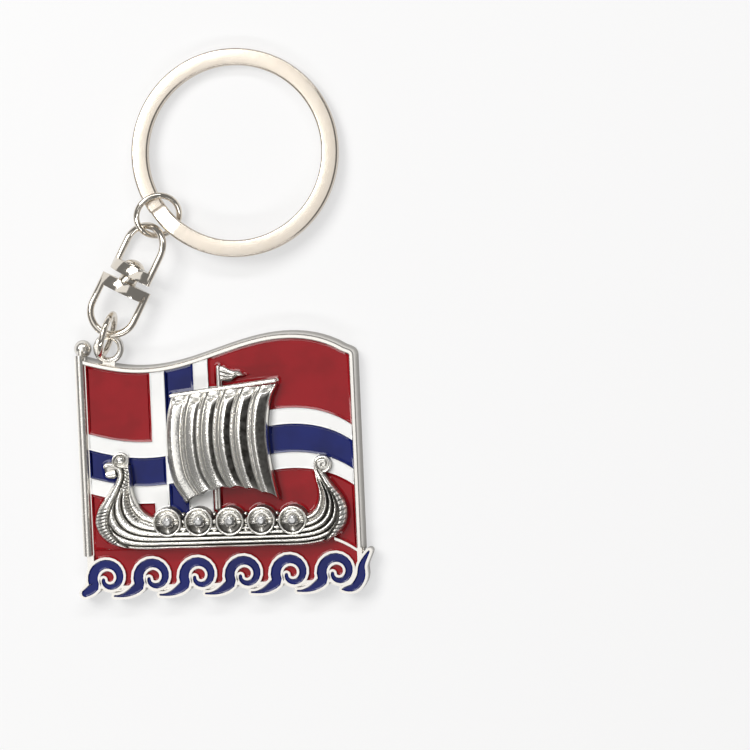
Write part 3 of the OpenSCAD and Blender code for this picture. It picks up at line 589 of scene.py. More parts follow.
# %% Where the stones sit
SHIELD_R = 2.27
STONES = []
for i in range(1, 6):
    low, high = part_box(f"crystal_{i}")
    STONES.append((np.array(low + high) / 2 / MM, low[2] / MM, high[2] / MM))
print("stones at", [[round(float(c), 2) for c in at[:2]] for at, _, _ in STONES])

# %% The hull's outline, in mm from the pendant's middle
GUNWALE = [(-13.8, 2.0), (-13.65, 0), (-13.5, -2), (-12.9, -3.9), (-11.8, -5.3), (-10.4, -6.1),
           (-8.1, -6.6), (-3.2, -6.8), (1.65, -6.85), (6.6, -6.9), (11.35, -6.8), (13.3, -6.5),
           (14.6, -5.7), (15.3, -4.2), (15.35, -2.6), (15.0, -1), (14.75, 0.5)]
KEEL = [(-16.0, 1.2), (-15.8, 0.1), (-17.4, -2.3), (-19.05, -4.8), (-19.45, -7.3), (-17.9, -9.7),
        (-14.2, -10.95), (-8, -11.1), (0, -11.1), (8, -11.1), (13.6, -11.05), (17.2, -10.2),
        (19.2, -8.3), (19.65, -6), (19, -3.8), (17.5, -1.8), (15.95, 0.3)]
GROOVES = (0.12, 0.28, 0.45, 0.63)       # between planks, as shares from the keel to the gunwale
LADDER, RAIL = 0.79, 0.86
BORDER = {0: 0.5, 0.06: 0.5, 0.12: 0.47, 0.19: 0.36, 0.25: 0.27, 0.31: 0.2, 0.36: 0.08, 0.39: -0.1,
          0.64: -0.1, 0.68: 0.10, 0.72: 0.22, 0.8: 0.29, 0.875: 0.38, 0.94: 0.48, 1: 0.5}
print("hull outline", len(GUNWALE), "and", len(KEEL), "points")


# %% Tools for carving
def notch(x, centre, width):             # 1 at the centre, soft on both sides
    return np.exp(-((x - centre) / width) ** 2)


def window(x, start, start_soft, end, end_soft):            # 1 between two soft ends
    return smooth((x - start) / start_soft) * smooth((end - x) / end_soft)


def rough(shape, steps, seed):           # smooth chance bumps between 0 and 1
    r = np.random.default_rng(seed)
    coarse = r.random([max(2, s) for s in steps])
    y = np.linspace(0, coarse.shape[0] - 1.001, shape[0])
    x = np.linspace(0, coarse.shape[1] - 1.001, shape[1])
    i, j = y.astype(int), x.astype(int)
    fy, fx = smooth(y - i)[:, None], smooth(x - j)[None, :]
    a, b = coarse[np.ix_(i, j)], coarse[np.ix_(i, j + 1)]
    c, d = coarse[np.ix_(i + 1, j)], coarse[np.ix_(i + 1, j + 1)]
    return mix(mix(a, b, fx), mix(c, d, fx), fy)


print("carving tools ready")

# %% The hull as a bare sheet
HULL_EDGE, HULL_BELLY = 0.8, 1.15        # mm above the rim, and more in the middle
u = np.concatenate([np.linspace(0, 0.4, 620, endpoint=False),
                    np.linspace(0.4, 0.62, 60, endpoint=False), np.linspace(0.62, 1, 560)])
keel, gunwale = spline(KEEL, u), spline(GUNWALE, u)
U, T = np.meshgrid(u, np.linspace(0, 1, 76), indexing="ij")
hull_xy = mix(keel[:, None], gunwale[:, None], T[..., None])
across = np.linalg.norm(gunwale - keel, axis=1)[:, None]
forward = U < 0.5
border = np.interp(U, list(BORDER), list(BORDER.values()))
bordered = border > 0.03
inside = smooth((T - border) * across / 0.25)
ends = smooth(np.minimum(U, 1 - U) * 9)
belly = np.sin(np.pi * mix(0.06, 0.94, 1 - T)) ** 0.7
hull_z = RIM_Z + HULL_EDGE + HULL_BELLY * belly * mix(0.35, 1, ends)
print("hull sheet", hull_z.shape)

# %% Planks
PLANK_ROUND, GROOVE_DEEP, GROOVE_WIDE = 0.26, 0.42, 0.16
cut, plank, up_plank = np.zeros_like(hull_z), np.zeros_like(hull_z), np.zeros_like(hull_z)
edges = (0.0,) + GROOVES + (LADDER,)
for low, high in zip(edges[:-1], edges[1:]):
    here, share = (T >= low) & (T < high), (T - low) / (high - low)
    plank += np.where(here, np.sin(np.pi * np.clip(share, 0, 1)) ** 0.6, 0)
    up_plank += np.where(here, 1 - share, 0)
for g in GROOVES:
    cut = np.maximum(cut, notch(T * across, g * across, GROOVE_WIDE))
ship = window(U, 0.10, 0.05, 0.955, 0.03)
hull_z += inside * ship * (PLANK_ROUND * plank - GROOVE_DEEP * cut)
print("planks", len(GROOVES) + 1)

# %% Rail and ladder
RAIL_UP, RUNG, RUNG_DEEP = 0.22, 0.5, 0.3
rail = smooth((T - RAIL) * across / 0.12) * (1 - smooth((T - 0.985) * across / 0.1) * 0.6)
hull_z += RAIL_UP * rail * np.sin(np.pi * np.clip((T - RAIL) / (1 - RAIL), 0, 1)) ** 0.5
rung = 0.5 + 0.5 * np.cos(2 * np.pi * (along(gunwale)[:, None] + 0 * T) / RUNG)
ladder = notch(T * across, LADDER * across, 0.3) * window(U, 0.11, 0.02, 0.31, 0.03)
line = notch(T * across, (RAIL - 0.015) * across, 0.1)
hull_z -= RUNG_DEEP * ladder * rung ** 2 + RUNG_DEEP * line * ship
print("rungs every", RUNG, "mm")

# %% Beads along stem and stern
STEM_BEAD, STERN_BEAD = 0.55, 0.78       # mm from one bead to the next
BEAD_UP, SEAM_DEEP = 0.34, 0.36
half = np.maximum(border * across * 0.36, 0.05)
off = (T - border * 0.5) * across / half
crown = np.sqrt(np.clip(1 - off ** 2, 0, 1))
outer = along(keel)[:, None] + 0 * T
pitch = np.where(forward, STEM_BEAD, STERN_BEAD)
beads = np.abs(np.sin(np.pi * outer / pitch + np.where(forward, 0, 1.6) * off)) ** 0.6
beaded = np.where(forward, window(U, 0.17, 0.03, 0.345, 0.01), window(U, 0.69, 0.01, 0.93, 0.02))
hull_z += np.where(bordered, (1 - inside) * BEAD_UP * crown * mix(1, beads, 0.75 * beaded), 0)
seam = notch((T - border) * across, 0, 0.16) * bordered
hull_z -= SEAM_DEEP * seam
print("beads every", STEM_BEAD, "and", STERN_BEAD, "mm")

# %% Rope on the neck, rolled edges and an uneven skin
ROPE_TURNS, ROPE_SLANT, ROPE_DEEP = 62, 3.2, 0.26
ROLL_DEEP, UNEVEN, UNDER_SHIELD = 0.38, 0.035, 0.25
neck = smooth((0.13 - U) / 0.03) * window(T, 0.42, 0.06, 0.9, 0.06)
twist = notch((U * ROPE_TURNS - T * ROPE_SLANT) % 1, 0.5, 0.16)
hull_z -= ROPE_DEEP * neck * twist
hull_z -= ROLL_DEEP * (1 - smooth(np.minimum(T, 1 - T) * across / 0.22))
uneven = rough(hull_z.shape, (420, 22), 3)
hull_z += UNEVEN * (uneven - 0.5)
for at, low, _ in STONES:                # the planks pass below the shields
    away = np.hypot(hull_xy[..., 0] - at[0], hull_xy[..., 1] - at[1])
    hull_z = np.where(away < SHIELD_R - 0.12, np.minimum(hull_z, low - UNDER_SHIELD), hull_z)
print("hull from", round(float(hull_z.min()), 2), "to", round(float(hull_z.max()), 2), "mm")

# %% Patina of the hull, and painted shade on each plank's lower side towards the stern
patina_and_shade = np.maximum.reduce([
    0.95 * cut * inside * ship, 0.9 * seam, 0.75 * line * ship, 0.8 * ladder * rung ** 2,
    0.85 * neck * twist, 0.9 * (1 - inside) * beaded * (1 - beads) ** 0.6 * bordered])
stern_shade = window(U, 0.62, 0.12, 0.93, 0.05)
# painted shade: towards the stern, the lower side of each plank is darkened
patina_and_shade = np.maximum(patina_and_shade, 0.85 * inside * stern_shade * smooth((up_plank - 0.42) / 0.2) * (T < LADDER))
rims = 0.5 * notch(T * across, 0, 0.14) + 0.3 * notch((1 - T) * across, 0, 0.1)
patina_and_shade = np.maximum(patina_and_shade, rims) + 0.16 * smooth((uneven - 0.62) / 0.2) * (0.4 + beaded)
hull = relief("hull", np.dstack([hull_xy, hull_z]), FLOOR_Z + 0.02, patina_and_shade)
print("hull", len(hull.data.vertices), "points")

# %% [markdown]
# ## The sail
# The sail hangs from the yard in six panels between ribs. Cloth simulation would give it folds that
# a carver's die doesn't have, so it is a carved sheet too: each panel bellies out, one side of it
# is bright and the other is darkened, partly by patina and partly as painted shade of the side
# turned from the light. The ribs end as points along the foot.

# %% The sail as a bare sheet
SAIL_LEFT = [(-6.8, 12.3), (-7.45, 9.6), (-7.75, 6.5), (-7.7, 3.2), (-7.25, 0), (-6.5, -2),
             (-5.2, -4.2)]
SAIL_RIGHT = [(9.75, 13.7), (8.7, 11.6), (8.1, 8.6), (7.95, 5.4), (8.3, 1.6), (8.8, -1.6),
              (9.3, -4)]
PANELS, PANEL_STEPS, DOWN_STEPS = 6, 44, 190
CRESTS = (0.36, 0.63, 0.57, 0.5, 0.43, 0.34)                # of each panel, from rib to rib
SAIL_EDGE, SAIL_BULGE, PILLOW_UP = 1.1, 1.5, 0.62           # mm
SAG, SCALLOP = 2.2, 0.3
u, v = np.linspace(0, 1, PANELS * PANEL_STEPS + 1), np.linspace(0, 1, DOWN_STEPS)
left, right = spline(SAIL_LEFT, v), spline(SAIL_RIGHT, v)
U, V = np.meshgrid(u, v, indexing="ij")
hang = SAG * np.sin(np.pi * U) ** 0.8 + SCALLOP * np.abs(np.sin(np.pi * PANELS * U))
sail_xy = mix(left[None], right[None], u[:, None, None]) + np.dstack([0 * U, V ** 2 * hang])
k = np.minimum((U * PANELS).astype(int), PANELS - 1)
f = U * PANELS - k
crest = np.choose(k, CRESTS)
tooth = np.where(f < crest, f / crest, (1 - f) / (1 - crest))
pillow = mix(np.sin(0.5 * np.pi * np.clip(tooth, 0, 1)), np.clip(tooth, 0, 1), 0.35)
pillow = PILLOW_UP * pillow * mix(0.35, 1, smooth(4 * V)) * mix(1, 0.75, smooth((V - 0.7) / 0.3))
bulge = np.sin(np.pi * mix(0.06, 0.94, U)) ** 0.7 * mix(0.35, 1, np.sin(np.pi * V * 150 / 180))
sail_z = RIM_Z + SAIL_EDGE + SAIL_BULGE * bulge + pillow
print("sail sheet", sail_z.shape)

# %% Ribs, creases and the gathers below the yard
RIB_UP, RIB_WIDE, THREAD_DEEP, THREAD_WIDE = 0.30, 0.26, 0.12, 0.06
CREASE_DEEP, LENS_DEEP, LIP_DEEP, HEIGHT = 0.10, 0.35, 0.3, 17
wide = np.linalg.norm(right - left, axis=1)[None, :] / PANELS
away = np.minimum(f, 1 - f) * wide
on_edge = (U * PANELS < 0.5) | (U * PANELS > PANELS - 0.5)
ribs = np.where(on_edge, 0, notch(away, 0, RIB_WIDE))
sail_z += RIB_UP * ribs - THREAD_DEEP * notch(away, 0, THREAD_WIDE) * (ribs > 0)
crease = notch(away, 0.42, 0.09)
sail_z -= CREASE_DEEP * crease
lens = notch(V, 0.045 + 0.03 * np.sin(np.pi * f), 0.022) * np.sin(np.pi * f) ** 2
sail_z -= LENS_DEEP * lens
hair = rough(sail_z.shape, (PANELS * 10, 150), 11)
fine = rough(sail_z.shape, (PANELS * 18, 95), 12)
sail_z += 0.02 * (fine - 0.5)
lip = np.minimum(np.minimum(U, 1 - U) * wide * PANELS, (1 - V) * HEIGHT)
sail_z -= LIP_DEEP * (1 - smooth(lip / 0.22))
print("sail up to", round(float(sail_z.max()), 2), "mm")

# %% Painted shade and patina on the side of each panel that faces away from the light
SHADE_FROM = (0.0, 0.63, 0.57, 0.47, 0.42, 0.33)
SHADE = (0.75, 0.8, 0.92, 0.95, 0.95, 0.86)
start = np.choose(k, SHADE_FROM) + (hair - 0.5) * 0.10
dark = window(f, start, 0.07, 0.9, 0.07)
first = smooth((0.36 + (hair - 0.5) * 0.2 - f) / 0.16) * smooth((f - 0.05) / 0.05)
last = window(f, start, 0.08, 0.93, 0.05)
dark = np.where(k == 0, 0.8 * first, np.where(k == PANELS - 1, last, dark))
dark = dark * smooth((V - 0.06 - 0.05 * np.sin(np.pi * f)) / 0.05)
# painted shade: the side of each panel turned from the light is darkened over its patina, and the
# last entry paints a shadow line along the foot of the three left panels
patina_and_shade = np.maximum.reduce([
    dark * (np.choose(k, SHADE) - 0.25 * smooth((V - 0.85) / 0.15)), 0.55 * crease * (k > 0),
    0.62 * notch(away, 0, 0.055) * (ribs > 0) * mix(0.4, 1, fine), 0.7 * lens * (hair > 0.25),
    0.2 * smooth((fine - 0.78) / 0.1) * (k < 3), 0.9 * smooth((V - 0.988) / 0.01) * (k < 3)])
sail = relief("sail", np.dstack([sail_xy, sail_z]), RIM_Z - 0.6, patina_and_shade)
print("sail", len(sail.data.vertices), "points")

# %% [markdown]
# ## Spars
# Yard and mast are round rods, half sunk in the relief. A cylinder would end in a flat cut, so one
# function carries a round section along a path, with a radius at each point and domed ends.

# %% Rods
AROUND, CAP_STEPS = 20, 5


def rod(name, path, radii, patina_and_shade=0.0, under_patina_and_shade=0.5):
    P = np.asarray(path, float)
    R = np.broadcast_to(np.asarray(radii, float), (len(P),))
    tangent = np.gradient(P, axis=0)
    tangent /= np.linalg.norm(tangent, axis=1)[:, None]
    cap = [(-math.cos(a), math.sin(a)) for a in np.linspace(0.12, math.pi / 2, CAP_STEPS)[:-1]]
    stations = [(P[0] + tangent[0] * R[0] * k, tangent[0], R[0] * s) for k, s in cap]
    stations += list(zip(P, tangent, R))
    stations += [(P[-1] - tangent[-1] * R[-1] * k, tangent[-1], R[-1] * s)
                 for k, s in reversed(cap)]
    rings, shade = [], []
    for centre, t, r in stations:
        side = np.cross((0, 0, 1.0), t)
        side /= np.linalg.norm(side)
        top = np.cross(t, side)
        for a in np.linspace(0, 2 * np.pi, AROUND, endpoint=False):
            rings.append(centre + r * (math.cos(a) * side + math.sin(a) * top))
            # the lower half darkens towards the underside: patina in the crevice where the rod meets
            # the relief, and painted shade below it
            shade.append(patina_and_shade + under_patina_and_shade * max(0.0, -math.sin(a)) ** 0.7)
    last = (len(stations) - 1) * AROUND
    faces = grid_faces(len(stations), AROUND, close_columns=True)
    faces += [tuple(range(AROUND)), tuple(last + j for j in range(AROUND))]
    return piece(name, rings, faces, silver, patina_and_shade=shade)


def level_path(points, z, n):
    return np.column_stack([spline(points, np.linspace(0, 1, n)), np.full(n, z)])


# %% Yard, mast and the mast's foot below the sail
MAST_X, FOOT_X, SHADOW_X = 0.62, -0.62, -0.18
yard_radii = np.interp(np.linspace(0, 1, 30), [0, 0.05, 1], [0.27, 0.31, 0.31])
rod("yard", level_path([(-6.75, 12.45), (9.5, 14.25)], RIM_Z + 1.6, 30), yard_radii, under_patina_and_shade=0.8)
rod("mast", level_path([(MAST_X, 13.4), (MAST_X, 16.56)], RIM_Z + 0.45, 12), 0.33, under_patina_and_shade=0.8)
rod("low_mast", level_path([(FOOT_X, -5.2), (FOOT_X, -1.4)], RIM_Z + 0.02, 12), 0.26, under_patina_and_shade=0.7)
rod("low_mast_shadow", level_path([(SHADOW_X, -5.2), (SHADOW_X, -1.4)], RIM_Z - 0.1, 12), 0.2,
    under_patina_and_shade=0.7, patina_and_shade=0.25)
print("spars")

# %% [markdown]
# ## Pennant, dragon's head and scroll
# The small figures are carved in the same way: a sheet of points inside an outline, raised in its
# middle and sooty at its foot. A ring or a spiral is a half-round ridge swept along its path, which
# keeps its width where a sheet would run to a point.

# %% Domes
def dome(name, centre, radius, base, height, soot_low=0.6, squash=1.0, around=40, rings=12,
         painted_shade_side=0.0):
    points, shade = [], []
    turns = np.linspace(0, 2 * np.pi, around, endpoint=False)
    for k in range(rings + 1):
        r = k / rings
        z = base + height * max(0.0, 1 - r ** 2) ** 0.5
        for a in turns:
            points.append((centre[0] + radius * r * math.cos(a),
                           centre[1] + radius * squash * r * math.sin(a), z))
            # the outer ring of each dome is darkened with patina, and one side of it can be darkened
            # as painted shade
            shade.append(soot_low * smooth((r - 0.72) / 0.28)
                         + painted_shade_side * smooth((r - 0.3) / 0.5) * smooth(-math.sin(a + 0.5)))
    faces = grid_faces(rings + 1, around, close_columns=True)
    last, start = rings * around, (rings + 1) * around
    for a in turns:
        points.append((centre[0] + radius * math.cos(a),
                       centre[1] + radius * squash * math.sin(a), base - 0.5))
        shade.append(0.9)
    faces += [(last + j, last + (j + 1) % around, start + (j + 1) % around, start + j)
              for j in range(around)]
    return piece(name, points, faces, silver, patina_and_shade=shade)

# %% Ridges
RIDGE_STEPS = 9


def ridge(name, path, half, base, height, soot_side=0.8, closed=False):
    P = np.asarray(path, float)[:, :2]
    tangent = np.gradient(P, axis=0)
    if closed:
        tangent = np.roll(P, -1, axis=0) - np.roll(P, 1, axis=0)
    tangent /= np.linalg.norm(tangent, axis=1)[:, None]
    normal = np.column_stack([-tangent[:, 1], tangent[:, 0]])
    count, n = len(P), RIDGE_STEPS + 2
    H = np.broadcast_to(np.asarray(half, float), (count,))
    points, shade = [], []
    for i in range(count):
        for a in np.linspace(math.pi, 0, RIDGE_STEPS):
            x, y = P[i] + normal[i] * H[i] * math.cos(a)
            points.append((x, y, base + height * math.sin(a) ** 0.8))
            shade.append(soot_side * (1 - math.sin(a)) ** 1.5)
        for s in (1, -1):
            x, y = P[i] + normal[i] * H[i] * s
            points.append((x, y, base - 0.4))
            shade.append(0.9)
    faces = grid_faces(count, n, close_rows=closed, close_columns=True)
    if not closed:
        faces += [tuple(range(n)), tuple((count - 1) * n + j for j in range(n))]
    return piece(name, points, faces, silver, patina_and_shade=shade)

# %% Blades
BLADE_SOOT, FLUTE_DEEP, FLUTE_WIDE = 0.7, 0.22, 0.045


def blade(name, top, bottom, base, height, grooves=(), n=70, rows=22, waves=0.0):
    u, v = np.linspace(0, 1, n), np.linspace(0, 1, rows)
    upper, lower = spline(top, u), spline(bottom, u)
    xy = mix(upper[:, None], lower[:, None], v[None, :, None])
    U, V = np.meshgrid(u, v, indexing="ij")
    rise = (np.sin(np.pi * mix(0.08, 0.92, V)) ** 0.6
            * smooth(U * 9 + 0.25) * smooth((1 - U) * 6 + 0.2))
    z = base + height * rise + waves * np.sin(U * 9)
    patina_and_shade = BLADE_SOOT * (1 - smooth(np.minimum(V, 1 - V) / 0.12))
    for g in grooves:
        cut = notch(V, g, FLUTE_WIDE) * smooth(U * 8) * smooth((1 - U) * 4)
        z = z - FLUTE_DEEP * cut
        patina_and_shade = np.maximum(patina_and_shade, cut)
    return relief(name, np.dstack([xy, z]), base - 0.5, patina_and_shade)


# %% Pennant
PENNANT_TOP = [(0.4, 16.8), (1.5, 16.5), (2.6, 15.95), (3.7, 15.85), (4.6, 15.2)]
PENNANT_LOW = [(0.4, 14.6), (1.2, 14.45), (2.1, 14.35), (2.9, 14.7), (3.5, 15.0), (4.6, 15.1)]
blade("pennant", PENNANT_TOP, PENNANT_LOW, RIM_Z + 0.05, 0.5, (0.38, 0.66), waves=0.1)
print("pennant")

# %% Dragon's head at the stem
HEAD_X, HEAD_Y = -15.3, 2.6
HEAD_RING = 1.22                         # mm, radius of the outline


def arc(x, y, radius, turns, tall=None):
    return np.column_stack([x + radius * np.cos(turns), y + (tall or radius) * np.sin(turns)])


circle = np.linspace(0, 2 * np.pi, 72, endpoint=False)
ridge("head_outline", arc(HEAD_X, HEAD_Y - 0.05, HEAD_RING, circle), 0.17, RIM_Z + 0.25, 0.33,
      closed=True)
dome("head_ground", (HEAD_X, HEAD_Y - 0.05), 1.16, RIM_Z + 0.1, 0.12, soot_low=1.0, rings=6)
dome("head_crown", (HEAD_X - 0.02, HEAD_Y + 0.16), 0.84, RIM_Z + 0.2, 0.72, soot_low=0.4,
     squash=0.9)
jaw_width = np.interp(np.linspace(0, 1, 30), [0, 0.5, 1], [0.05, 0.14, 0.05])
ridge("head_jaw", arc(HEAD_X, HEAD_Y + 0.05, 0.86, np.radians(np.linspace(200, 340, 30))),
      jaw_width, RIM_Z + 0.2, 0.3)
blade("muzzle_top", [(-18.0, 2.1), (-17.5, 2.45), (-16.8, 2.45), (-16.1, 2.2)],
      [(-18.05, 1.5), (-17.4, 1.62), (-16.8, 1.66), (-16.1, 1.5)], RIM_Z + 0.1, 0.55, (0.5,),
      rows=26)
blade("muzzle_low", [(-17.75, 0.95), (-17.3, 1.2), (-16.7, 1.3), (-16.1, 1.3)],
      [(-17.7, 0.2), (-17.1, 0.0), (-16.5, 0.05), (-15.9, 0.2)], RIM_Z + 0.1, 0.5, rows=20)
ridge("tongue", arc(-16.95, 0.66, 0.42, np.radians(np.linspace(-110, 120, 26)), 0.36), 0.1,
      RIM_Z + 0.38, 0.24)
print("head")

# %% Scroll at the stern
SCROLL = (16.1, 1.15)
ridge("scroll_ring", arc(*SCROLL, 1.16, circle), 0.24, RIM_Z + 0.2, 0.52, soot_side=0.5,
      closed=True)
# the ground inside the scroll is darker on its lower left side, as painted shade
dome("scroll_ground", SCROLL, 1.1, RIM_Z + 0.1, 0.05, soot_low=0.9, rings=6, painted_shade_side=0.5)
k = np.linspace(0, 1, 60)
ridge("scroll_curl", arc(*SCROLL, mix(0.78, 0.10, k), np.radians(150 - 470 * k)),
      mix(0.17, 0.12, k), RIM_Z + 0.2, 0.42, soot_side=0.9)
print("scroll")

# %% [markdown]
# ## Shields
# Five round shields hang on the rail. Each is a dish with a rim, an arm to either side and a broad
# one below, round a raised seat for a stone. A dish is quickest turned from a profile, and the arms
# are then laid over it by angle. A bead, a drop and a top bead fill the gap to the next shield.

# %% Profile of a shield, as radius and height in mm
SHIELD_TURNS = 180
SHIELD_RINGS = (0.0, 0.4, 0.8, 0.84, 0.9, 0.94, 0.98, 1.04, 1.1, 1.18, 1.26, 1.34, 1.42, 1.5,
                1.58, 1.66, 1.72, 1.77, 1.81, 1.85, 1.89, 1.94, 2.0, 2.06, 2.12, 2.18, 2.23, 2.26,
                SHIELD_R)
DISH = {0: 0, 0.8: 0, 0.86: 0.2, 0.95: 0.2, 1.02: 0.03, 1.3: 0.03, 1.6: 0.14, 1.74: 0.26,
        1.8: 0.34}                       # above the dish's floor
RIM = {1.86: 0.14, 1.92: 0.02, 2.0: 0, 2.08: 0, 2.16: 0.07, 2.22: 0.24, 2.26: 0.6,
       SHIELD_R: 1.9}                    # below the rim's top
DISH_IN, DISH_OUT = 0.92, 1.82
ARM_UP, FOOT_UP = 0.16, 0.2


def shield_heights(floor, top):
    heights = [floor + up for up in DISH.values()] + [top - down for down in RIM.values()]
    return np.interp(np.array(SHIELD_RINGS), list(DISH) + list(RIM), heights)


print("shield profile", len(SHIELD_RINGS), "rings")


# %% Arms, patina, painted shade and the finished shields
def shield(i, at, low, high):
    R, A = np.meshgrid(SHIELD_RINGS, np.linspace(0, 360, SHIELD_TURNS, endpoint=False),
                       indexing="ij")
    dish = window(R, DISH_IN, 0.08, DISH_OUT, 0.08)
    share = np.clip((R - 0.93) / 0.87, 0, 1)

    def beside(angle):
        return np.abs((A - angle + 180) % 360 - 180) * math.pi / 180 * R

    lift = np.zeros_like(R)
    # painted shade: the lower half of each dish is darkened, apart from the arms; the narrower dark
    # lines follow grooves and the rim
    dark = 0.93 * smooth((-np.sin(np.radians(A)) - 0.16) / 0.2)
    for angle in (0, 180):
        off = beside(angle)
        lift += ARM_UP * notch(off, 0.16 + 0.12 * share, 0.09)
        dark = np.maximum(dark * (off > 0.5), 0.95 * notch(off, 0, 0.05 + 0.07 * share))
        dark = np.maximum(dark, 0.8 * notch(off, 0.42 + 0.2 * share, 0.07 + 0.05 * share))
    foot = notch(beside(270), 0, 0.26) * (1 - 0.4 * share)
    lift += FOOT_UP * foot
    dark = dark * (1 - 0.95 * foot)
    dark = np.maximum(dark, 0.85 * notch(R, 1.06, 0.07) * notch(beside(90), 0, 0.42)) * dish
    dark = np.maximum.reduce([dark, 0.85 * notch(R, 1.8, 0.055), 0.75 * smooth((R - 2.14) / 0.08),
                              0.3 * (R < 0.8)])
    z = shield_heights(low + 0.12, high - 0.02)[:, None] + lift * dish
    x, y = at[0] + R * np.cos(np.radians(A)), at[1] + R * np.sin(np.radians(A))
    return piece(f"shield_{i}", np.dstack([x, y, z]).reshape(-1, 3),
                 grid_faces(*R.shape, close_columns=True), silver, patina_and_shade=dark)


for i, (at, low, high) in enumerate(STONES, 1):
    shield(i, at, low, high)
print("shields", len(STONES))

# %% Beads and drops between the shields
DROP_TOP = ((-0.62, -1.42), (0, -1.05), (0.62, -1.42))
DROP_LOW = ((-0.45, -1.95), (0, -2.1), (0.45, -1.95))
for i, ((a, _, high), (b, _, _)) in enumerate(zip(STONES[:-1], STONES[1:]), 1):
    x, y = ((a + b) / 2)[:2]
    dome(f"link_{i}", (x, y + 0.05), 0.36, high - 1.0, 0.62, soot_low=0.8, rings=8, around=24)
    blade(f"drop_{i}", [(x + dx, y + dy) for dx, dy in DROP_TOP],
          [(x + dx, y + dy) for dx, dy in DROP_LOW], high - 1.1, 0.5, n=24, rows=14)
    dome(f"top_bead_{i}", (x, y + 1.1), 0.34, high - 1.2, 0.5, soot_low=0.8, rings=8, around=24)
print("beads and drops", 3 * (len(STONES) - 1))

# %% [markdown]
# ## Stones
# The stones are round brilliants of clear glass with a mirror foil behind them. The crown has a
# table, eight star facets, eight kites and sixteen girdle facets, each one flat. Clear glass would
# need many light paths to show the foil, so the facets are a mirror under a clear coat, and their
# colour is a painted reflection: each one's own direction sets how bright it is painted.

# %% Foiled glass
DARK_FACET, BRIGHT_FACET = rgb(0.22, 0.21, 0.20), rgb(0.96, 0.96, 0.95)


def stone_material():
    p = Paint("foiled_glass")
    own = p.node("TexCoord", out="Normal")
    side = p.node("SeparateXYZ", inputs={0: own}, out="X")
    tall = p.node("SeparateXYZ", inputs={0: own}, out="Y")
    painted_glint = p.noise(0.5, 1.0)
    # painted reflection: facets that face up and to the left, towards the soft box, are painted
    # bright and the others dark, and a noise paints glints at random
    tone = (0.5 + side * -0.55 + tall * 0.75 + (painted_glint - 0.5) * 1.1).clamp()
    colour = p.mix(tone, DARK_FACET, BRIGHT_FACET)
    return p.surface(Base_Color=colour, Metallic=0.75, Roughness=0.06, Coat_Weight=1.0,
                     Coat_Roughness=0.02, Coat_IOR=1.6)


stone = stone_material()

# %% Brilliants
STONE_R, STAR_R, TABLE_R = 0.84, 0.63, 0.44
BELOW_TOP = {"table": 0.02, "star": 0.12, "girdle": 0.30, "base": 0.36}


def brilliant(i, at, low, high):
    def corners(radius, level, count, offset=0.0):
        turns = np.radians(np.arange(count) * 360 / count + offset)
        return [(at[0] + radius * math.cos(t), at[1] + radius * math.sin(t),
                 high - BELOW_TOP[level]) for t in turns]

    points = (corners(TABLE_R, "table", 8, 22.5) + corners(STAR_R, "star", 8)
              + corners(STONE_R, "girdle", 16) + corners(STONE_R, "base", 16)
              + [(at[0], at[1], low + 0.12)])
    T, S, G, B, tip = 0, 8, 16, 32, 48   # number of the first point of each ring
    faces = [tuple(range(8))]
    for k in range(8):
        n = (k + 1) % 8
        faces.append((T + k, T + (k - 1) % 8, S + k))
        faces.append((T + k, S + k, G + (2 * k + 1) % 16, S + n))
        faces.append((S + k, G + 2 * k, G + (2 * k + 1) % 16))
        faces.append((S + k, G + (2 * k - 1) % 16, G + 2 * k))
    for k in range(16):
        n = (k + 1) % 16
        faces.append((G + k, G + n, B + n, B + k))
        faces.append((B + k, B + n, tip))
    return piece(f"stone_{i}", points, faces, stone,
                 replaces=(f"crystal_{i}",), flat=True)


CLAWS, CLAW_R = 8, 0.86
for i, (at, low, high) in enumerate(STONES, 1):
    brilliant(i, at, low, high)
    for k in range(CLAWS):
        a = math.radians(22.5 + 45 * k)
        dome(f"claw_{i}_{k + 1}", (at[0] + CLAW_R * math.cos(a), at[1] + CLAW_R * math.sin(a)),
             0.10, high - 0.4, 0.30, soot_low=0.5, rings=5, around=12)
print("stones", len(STONES))

# %% [markdown]
# ## Table
# The table is a pale sheet that takes the object's shadow. More lamps would make it white and
# burn the silver out, so a share of its brightness is a glow that only the camera, mirrors and
# glass see.

# %% Table
GLOW = 0.55                              # share of the glow in what is seen of the table
HALF, DROP = 1.5, 0.00002                # m, half its width, and how far it lies below zero


def floor_material():
    p = Paint("table_sheet")
    looked_at = (p.node("LightPath", out="Is Camera Ray") + p.node("LightPath", out="Is Glossy Ray")
                 + p.node("LightPath", out="Is Transmission Ray"))
    matt = p.node("BsdfDiffuse", inputs={"Color": rgb(0.86, 0.86, 0.865)})
    glow = p.node("Emission", inputs={"Color": rgb(1, 1, 1), "Strength": 1.0})
    shade = p.node("MixShader", inputs={0: looked_at * GLOW, 1: matt, 2: glow})
    p.node("OutputMaterial", inputs={"Surface": shade})
    return p.block


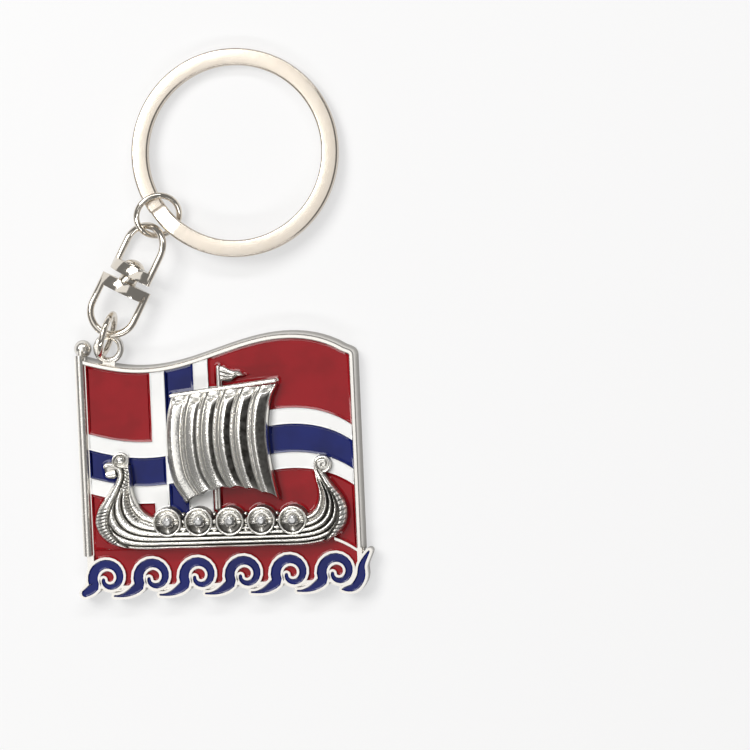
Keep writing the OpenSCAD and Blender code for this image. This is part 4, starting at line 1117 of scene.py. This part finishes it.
table = bpy.data.meshes.new("table_sheet")
table.from_pydata([(x * HALF, y * HALF, -DROP) for x, y in ((-1, -1), (1, -1), (1, 1), (-1, 1))],
                  [], [(0, 1, 2, 3)])
sheet = bpy.data.objects.new("table_sheet", table)
bpy.context.collection.objects.link(sheet)
table.materials.append(floor_material())
print("table")

# %% [markdown]
# ## Light
# One lamp would leave the metal black beside a single spot. So a soft box stands high at the upper
# left, a broad weak panel hangs above, and two long strips, one beyond the object and one before
# it, draw bright lines along rims and wires. The room itself is dim, which keeps the contrast.

# %% Lamps, given by place, width and power
def panel(name, at, size, watts, tint=(1, 1, 1), height=None):
    lamp = bpy.data.lights.new(name, "AREA")
    lamp.shape = "RECTANGLE"
    lamp.size, lamp.size_y = size, height or size
    lamp.energy = watts
    lamp.color = tint
    made = bpy.data.objects.new(name, lamp)
    bpy.context.collection.objects.link(made)
    made.location = at
    made.rotation_mode = "QUATERNION"
    made.rotation_quaternion = Vector(at).to_track_quat("Z", "Y")
    return made


lamps = [panel("soft_box", (-0.41, 0.35, 0.80), 0.44, 5.4, tint=(1.0, 0.985, 0.96)),
         panel("overhead", (-0.20, 0.0, 1.25), 0.95, 2.35),
         panel("far_strip", (0.02, 0.62, 0.60), 0.9, 2.7, height=0.11),
         panel("near_strip", (-0.05, -0.62, 0.58), 0.9, 1.9, height=0.10)]
print("lamps", len(lamps))

# %% The room round the table
DIM, MIRRORED = 0.27, 0.15               # its brightness, and the share of white that metal sees
world = Paint("dim_room", world=True)
grey = world.node("Background", inputs={"Color": rgb(0.30, 0.30, 0.305), "Strength": DIM})
clear = world.node("Background", inputs={"Color": rgb(1, 1, 1), "Strength": 1.0})
seen = (world.node("LightPath", out="Is Camera Ray")
        + world.node("LightPath", out="Is Transmission Ray")
        + world.node("LightPath", out="Is Glossy Ray") * MIRRORED)
both = world.node("MixShader", inputs={0: seen, 1: grey, 2: clear})
world.node("OutputWorld", inputs={"Surface": both})
bpy.context.scene.world = world.block
bpy.context.scene.view_settings.view_transform = "Standard"
print("room", world.block.name)
